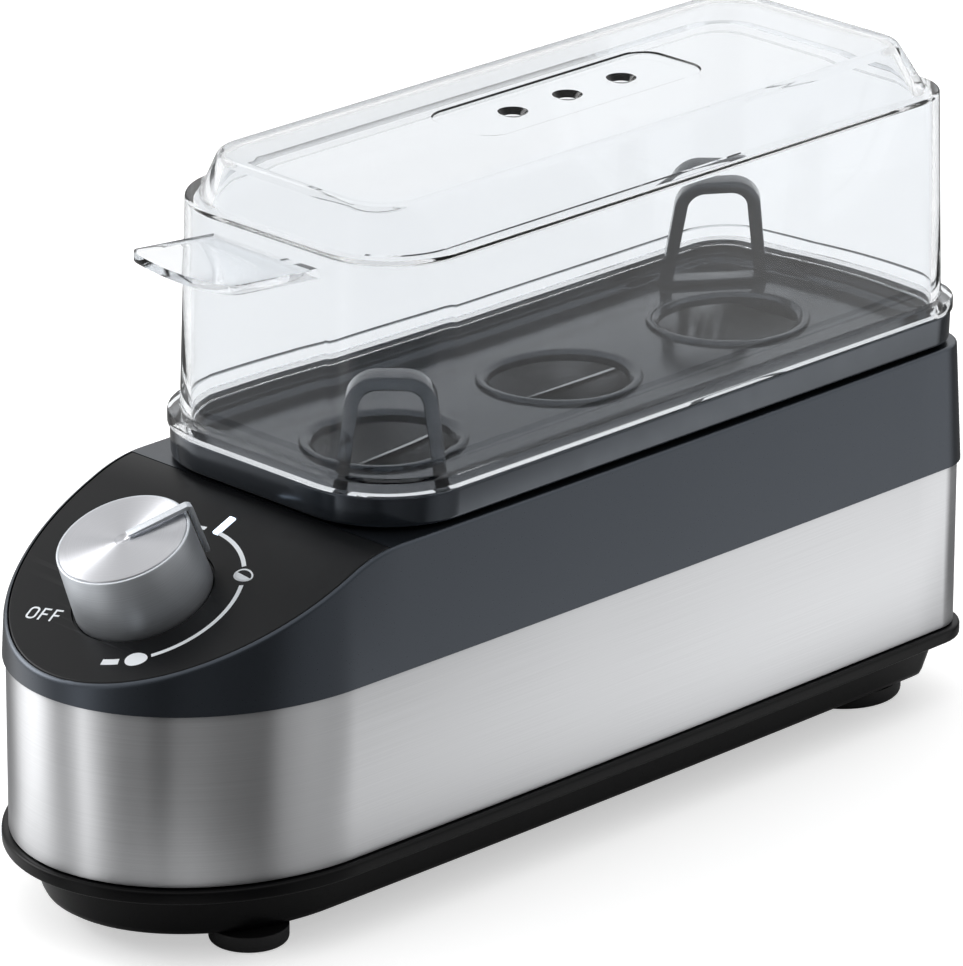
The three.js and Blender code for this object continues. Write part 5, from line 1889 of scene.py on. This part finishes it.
@dataclass
class InnerPart:
    """Electrics and heater that keep their CAD shapes and get their finishes."""

    finishes: Finishes

    def build(self) -> None:
        """Gives each kept node its finish."""
        f = self.finishes
        table: dict[str, Material] = {
            "dish_seal": f.silicone, "heat_spreader": f.aluminium, "heating_element": f.aluminium,
            "element_clamp": f.zinc, "clamp_screw": f.zinc, "thermostat": f.insulation, "thermal_fuse": f.aluminium,
            "lead_": f.insulation, "control_board": f.board, "board_screw": f.zinc, "buzzer": f.component,
            "relay": f.relay, "capacitor": f.component, "terminal_block": f.insulation, "regulator": f.component,
            "spindle_nut": f.zinc, "knob_spindle": f.zinc, "indicator_led": f.light,
        }
        for name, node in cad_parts.items():
            for start, material in table.items():
                if name.startswith(start) and node.type == "MESH":
                    for slot in node.material_slots:
                        slot.material = material
                    log.info("%s is finished in %s", name, material.name)


@dataclass
class Studio:
    """Camera, floor and the room's light.

    The sides and the upper walls are light levels by direction in degrees, round the room from the object's
    rear. The patch is the half size of the floor under the object, in metres, that metal and glossy plastic
    still mirror: past it they see the room, as they would over a table that ends near the object.
    """

    focal_pixels: float = 8165.58
    picture: tuple[int, int] = (963, 966)
    optical_centre: Pair = (482.02, 477.23)
    place: Corner = (-1154.37, -1156.49, 695.76)
    yaw: float = 0.7838977
    pitch: float = -0.3642904
    roll: float = 0.0039576
    sensor: float = 36.0
    soft_box: Corner = (-0.268, 0.824, 0.5)
    soft_box_level: float = 5.0
    floor_reach: float = 6.0
    floor_glow: float = 0.5
    floor_glow_through: float = 0.3
    patch: Pair = (0.132, 0.053)
    patch_fade: Pair = (0.9, 1.25)
    soft_box_angles: Pair = (20.0, 8.0)
    walls_fade: Pair = (0.12, 0.3)
    ceiling_fade: Pair = (0.6, 0.9)
    ceiling: float = 1.1
    backdrop: float = 1.0
    seen_through: float = 0.85
    sides: tuple[Pair, ...] = (
        (20, 0.17), (82, 0.3), (93, 0.96), (100, 1.45), (121, 1.5), (128, 1.2), (135, 0.73), (142, 0.52),
        (149, 0.55), (157, 0.95), (164, 1.7), (170, 1.05), (177, 0.55), (184, 0.32), (191, 0.22), (204, 0.2),
        (211, 0.08), (217, 0.06), (224, 0.22), (236, 0.22), (247, 0.16), (260, 0.13), (268, 0.06), (275, 0.38),
        (289, 0.56), (310, 0.36), (314, 1.15), (315.5, 1.68), (318, 1.95), (335, 0.2))
    upper: tuple[Pair, ...] = (
        (10, 1.3), (45, 1.15), (85, 0.65), (105, 1.2), (125, 1.5), (140, 0.6), (163, 1.1), (185, 0.4), (215, 0.2),
        (265, 0.2), (285, 0.5), (308, 0.55), (318, 1.2), (340, 1.1))

    def camera(self) -> None:
        """Sets the camera where the photograph was taken."""
        ahead = Vector((math.cos(self.pitch) * math.cos(self.yaw), math.cos(self.pitch) * math.sin(self.yaw),
                        math.sin(self.pitch)))
        right = ahead.cross(Vector((0, 0, 1))).normalized()
        up = right.cross(ahead)
        c, s = math.cos(self.roll), math.sin(self.roll)
        right, up = right * c + up * s, up * c - right * s
        lens = bpy.data.cameras.new("camera")
        longest = max(self.picture)
        lens.sensor_fit, lens.sensor_width = "AUTO", self.sensor
        lens.lens = self.focal_pixels * self.sensor / longest
        lens.shift_x = (self.picture[0] / 2 - self.optical_centre[0]) / longest
        lens.shift_y = (self.optical_centre[1] - self.picture[1] / 2) / longest
        lens.clip_start, lens.clip_end = 0.05, 50.0
        made = placed("camera", lens)
        rows = [[right[i], up[i], -ahead[i], self.place[i] * MM] for i in range(3)] + [[0, 0, 0, 1]]
        made.matrix_world = Matrix(rows)
        bpy.context.scene.camera = made

    def floor(self) -> None:
        """Lays a plain white floor that keeps the shadow and lets reflections see the room."""
        mesh = bpy.data.meshes.new("floor")
        reach = self.floor_reach
        corners = [(-reach, -reach, 0), (reach, -reach, 0), (reach, reach, 0), (-reach, reach, 0)]
        mesh.from_pydata(corners, [], [(0, 1, 2, 3)])
        material = bpy.data.materials.new("white_board")
        tree = empty_tree(material)
        ray = add(tree, "ShaderNodeLightPath")
        through = ray.outputs["Is Transmission Ray"]
        seen = add(tree, "ShaderNodeMath", {
            0: through, 1: self.floor_glow_through, 2: ray.outputs["Is Camera Ray"]}, operation="MULTIPLY_ADD")
        paint = add(tree, "ShaderNodeBsdfDiffuse", {"Color": linear("#ebebeb")})
        strength = add(tree, "ShaderNodeMath", {0: seen.outputs[0], 1: self.floor_glow}, operation="MULTIPLY")
        glow = add(tree, "ShaderNodeEmission", {"Strength": strength.outputs[0]})
        lit = add(tree, "ShaderNodeAddShader", {0: paint.outputs[0], 1: glow.outputs[0]})
        open_air = add(tree, "ShaderNodeBsdfTransparent")
        # A ray that has passed the lid is a glossy one too, so those are taken off.
        mirrored = add(tree, "ShaderNodeMath", {0: ray.outputs["Is Glossy Ray"], 1: through}, operation="SUBTRACT",
                       use_clamp=True)
        place = add(tree, "ShaderNodeTexCoord")
        shares = add(tree, "ShaderNodeVectorMath", {
            0: place.outputs["Object"], 1: (1 / self.patch[0], 1 / self.patch[1], 0.0)}, operation="MULTIPLY")
        size = add(tree, "ShaderNodeVectorMath", {0: shares.outputs["Vector"]}, operation="ABSOLUTE")
        split = add(tree, "ShaderNodeSeparateXYZ", {0: size.outputs["Vector"]})
        farther = add(tree, "ShaderNodeMath", {0: split.outputs["X"], 1: split.outputs["Y"]}, operation="MAXIMUM")
        away = add(tree, "ShaderNodeMapRange", {
            "Value": farther.outputs[0], "From Min": self.patch_fade[0], "From Max": self.patch_fade[1]})
        gone = add(tree, "ShaderNodeMath", {0: mirrored.outputs[0], 1: away.outputs["Result"]}, operation="MULTIPLY")
        both = add(tree, "ShaderNodeMixShader", {"Fac": gone.outputs[0], 1: lit.outputs[0], 2: open_air.outputs[0]})
        add(tree, "ShaderNodeOutputMaterial", {"Surface": both.outputs[0]})
        mesh.materials.append(material)
        made = placed("floor", mesh)

    def light_round(self, tree: NodeTree, share: NodeSocket, stops: Sequence[Pair]) -> NodeSocket:
        """Spreads light levels round the room, with no step where the turn closes.

        Args:
            tree: the room's tree.
            share: share of a full turn from the front.
            stops: direction in degrees and light level of each stop, 30 at most.

        Returns:
            The socket of the light's level.
        """
        ordered = sorted((((angle + 180) % 360) / 360, level) for angle, level in stops)
        (first, low), (last, high) = ordered[0], ordered[-1]
        seam = lerp(low, high, first / (first + 1 - last))
        levels = [(0.0, seam), *ordered, (1.0, seam)]
        made = add(tree, "ShaderNodeValToRGB", {"Fac": share})
        elements = made.color_ramp.elements
        while len(elements) < len(levels):
            elements.new(1.0)
        for element, (place, level) in zip(elements, levels):
            element.position = place
            element.color = (level, level, level, 1.0)
        return made.outputs["Color"]

    def blend(self, tree: NodeTree, height: NodeSocket, fade: Pair,
              below: NodeSocket, above: NodeSocket | float) -> NodeSocket:
        """Blends from one light level to another over a range of heights.

        Args:
            tree: the room's tree.
            height: height of the direction, from -1 to 1.
            fade: heights at which the blend starts and ends.
            below: level under the range.
            above: level over the range.

        Returns:
            The socket of the blended level.
        """
        share = add(tree, "ShaderNodeMapRange", {"Value": height, "From Min": fade[0], "From Max": fade[1]},
                    interpolation_type="SMOOTHSTEP")
        return add(tree, "ShaderNodeMix", {
            "Factor": share.outputs["Result"], "A": below, "B": above}, data_type="FLOAT").outputs["Result"]

    def room(self) -> None:
        """Lights the object from a white room with soft boxes and dark flags, by direction."""
        world = bpy.data.worlds.new("room")
        bpy.context.scene.world = world
        tree = empty_tree(world)
        way = add(tree, "ShaderNodeTexCoord").outputs["Generated"]
        split = add(tree, "ShaderNodeSeparateXYZ", {"Vector": way})
        angle = add(tree, "ShaderNodeMath", {0: split.outputs["Y"], 1: split.outputs["X"]}, operation="ARCTAN2")
        share = add(tree, "ShaderNodeMapRange", {
            "Value": angle.outputs[0], "From Min": -math.pi, "From Max": math.pi}).outputs["Result"]
        height = split.outputs["Z"]
        walls = self.blend(tree, height, self.walls_fade, self.light_round(tree, share, self.sides),
                           self.light_round(tree, share, self.upper))
        mixed = self.blend(tree, height, self.ceiling_fade, walls, self.ceiling)
        facing = add(tree, "ShaderNodeVectorMath", {0: way, 1: self.soft_box}, operation="DOT_PRODUCT")
        edge, core = (math.cos(math.radians(apart)) for apart in self.soft_box_angles)
        box = add(tree, "ShaderNodeMapRange", {
            "Value": facing.outputs["Value"], "From Min": edge, "From Max": core, "To Max": self.soft_box_level},
            interpolation_type="SMOOTHSTEP")
        boxed = add(tree, "ShaderNodeMath", {0: mixed, 1: box.outputs["Result"]}, operation="ADD")
        ray = add(tree, "ShaderNodeLightPath")
        level = boxed.outputs[0]
        for kind, shown in (("Is Camera Ray", self.backdrop), ("Is Transmission Ray", self.seen_through)):
            level = add(tree, "ShaderNodeMix", {
                "Factor": ray.outputs[kind], "A": level, "B": shown}, data_type="FLOAT").outputs["Result"]
        light = add(tree, "ShaderNodeBackground", {"Color": (1.0, 1.0, 1.0, 1.0), "Strength": level})
        add(tree, "ShaderNodeOutputWorld", {"Surface": light.outputs[0]})

    def build(self) -> None:
        """Sets the view and builds the studio."""
        bpy.context.scene.view_settings.view_transform = "Standard"
        self.camera()
        self.floor()
        self.room()


def main() -> None:
    """Builds the studio and every sub-assembly."""
    logging.basicConfig(level=logging.INFO, format="%(message)s")
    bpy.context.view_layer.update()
    Studio().build()
    finishes = Finishes()
    base, housing, knob = BasePart(finishes), HousingPart(finishes), KnobPart(finishes)
    base.build()
    housing.build()
    knob.build()
    TrayPart(finishes).build(housing)
    LidPart(finishes).build()
    InnerPart(finishes).build()


if __name__ == "__main__":
    main()
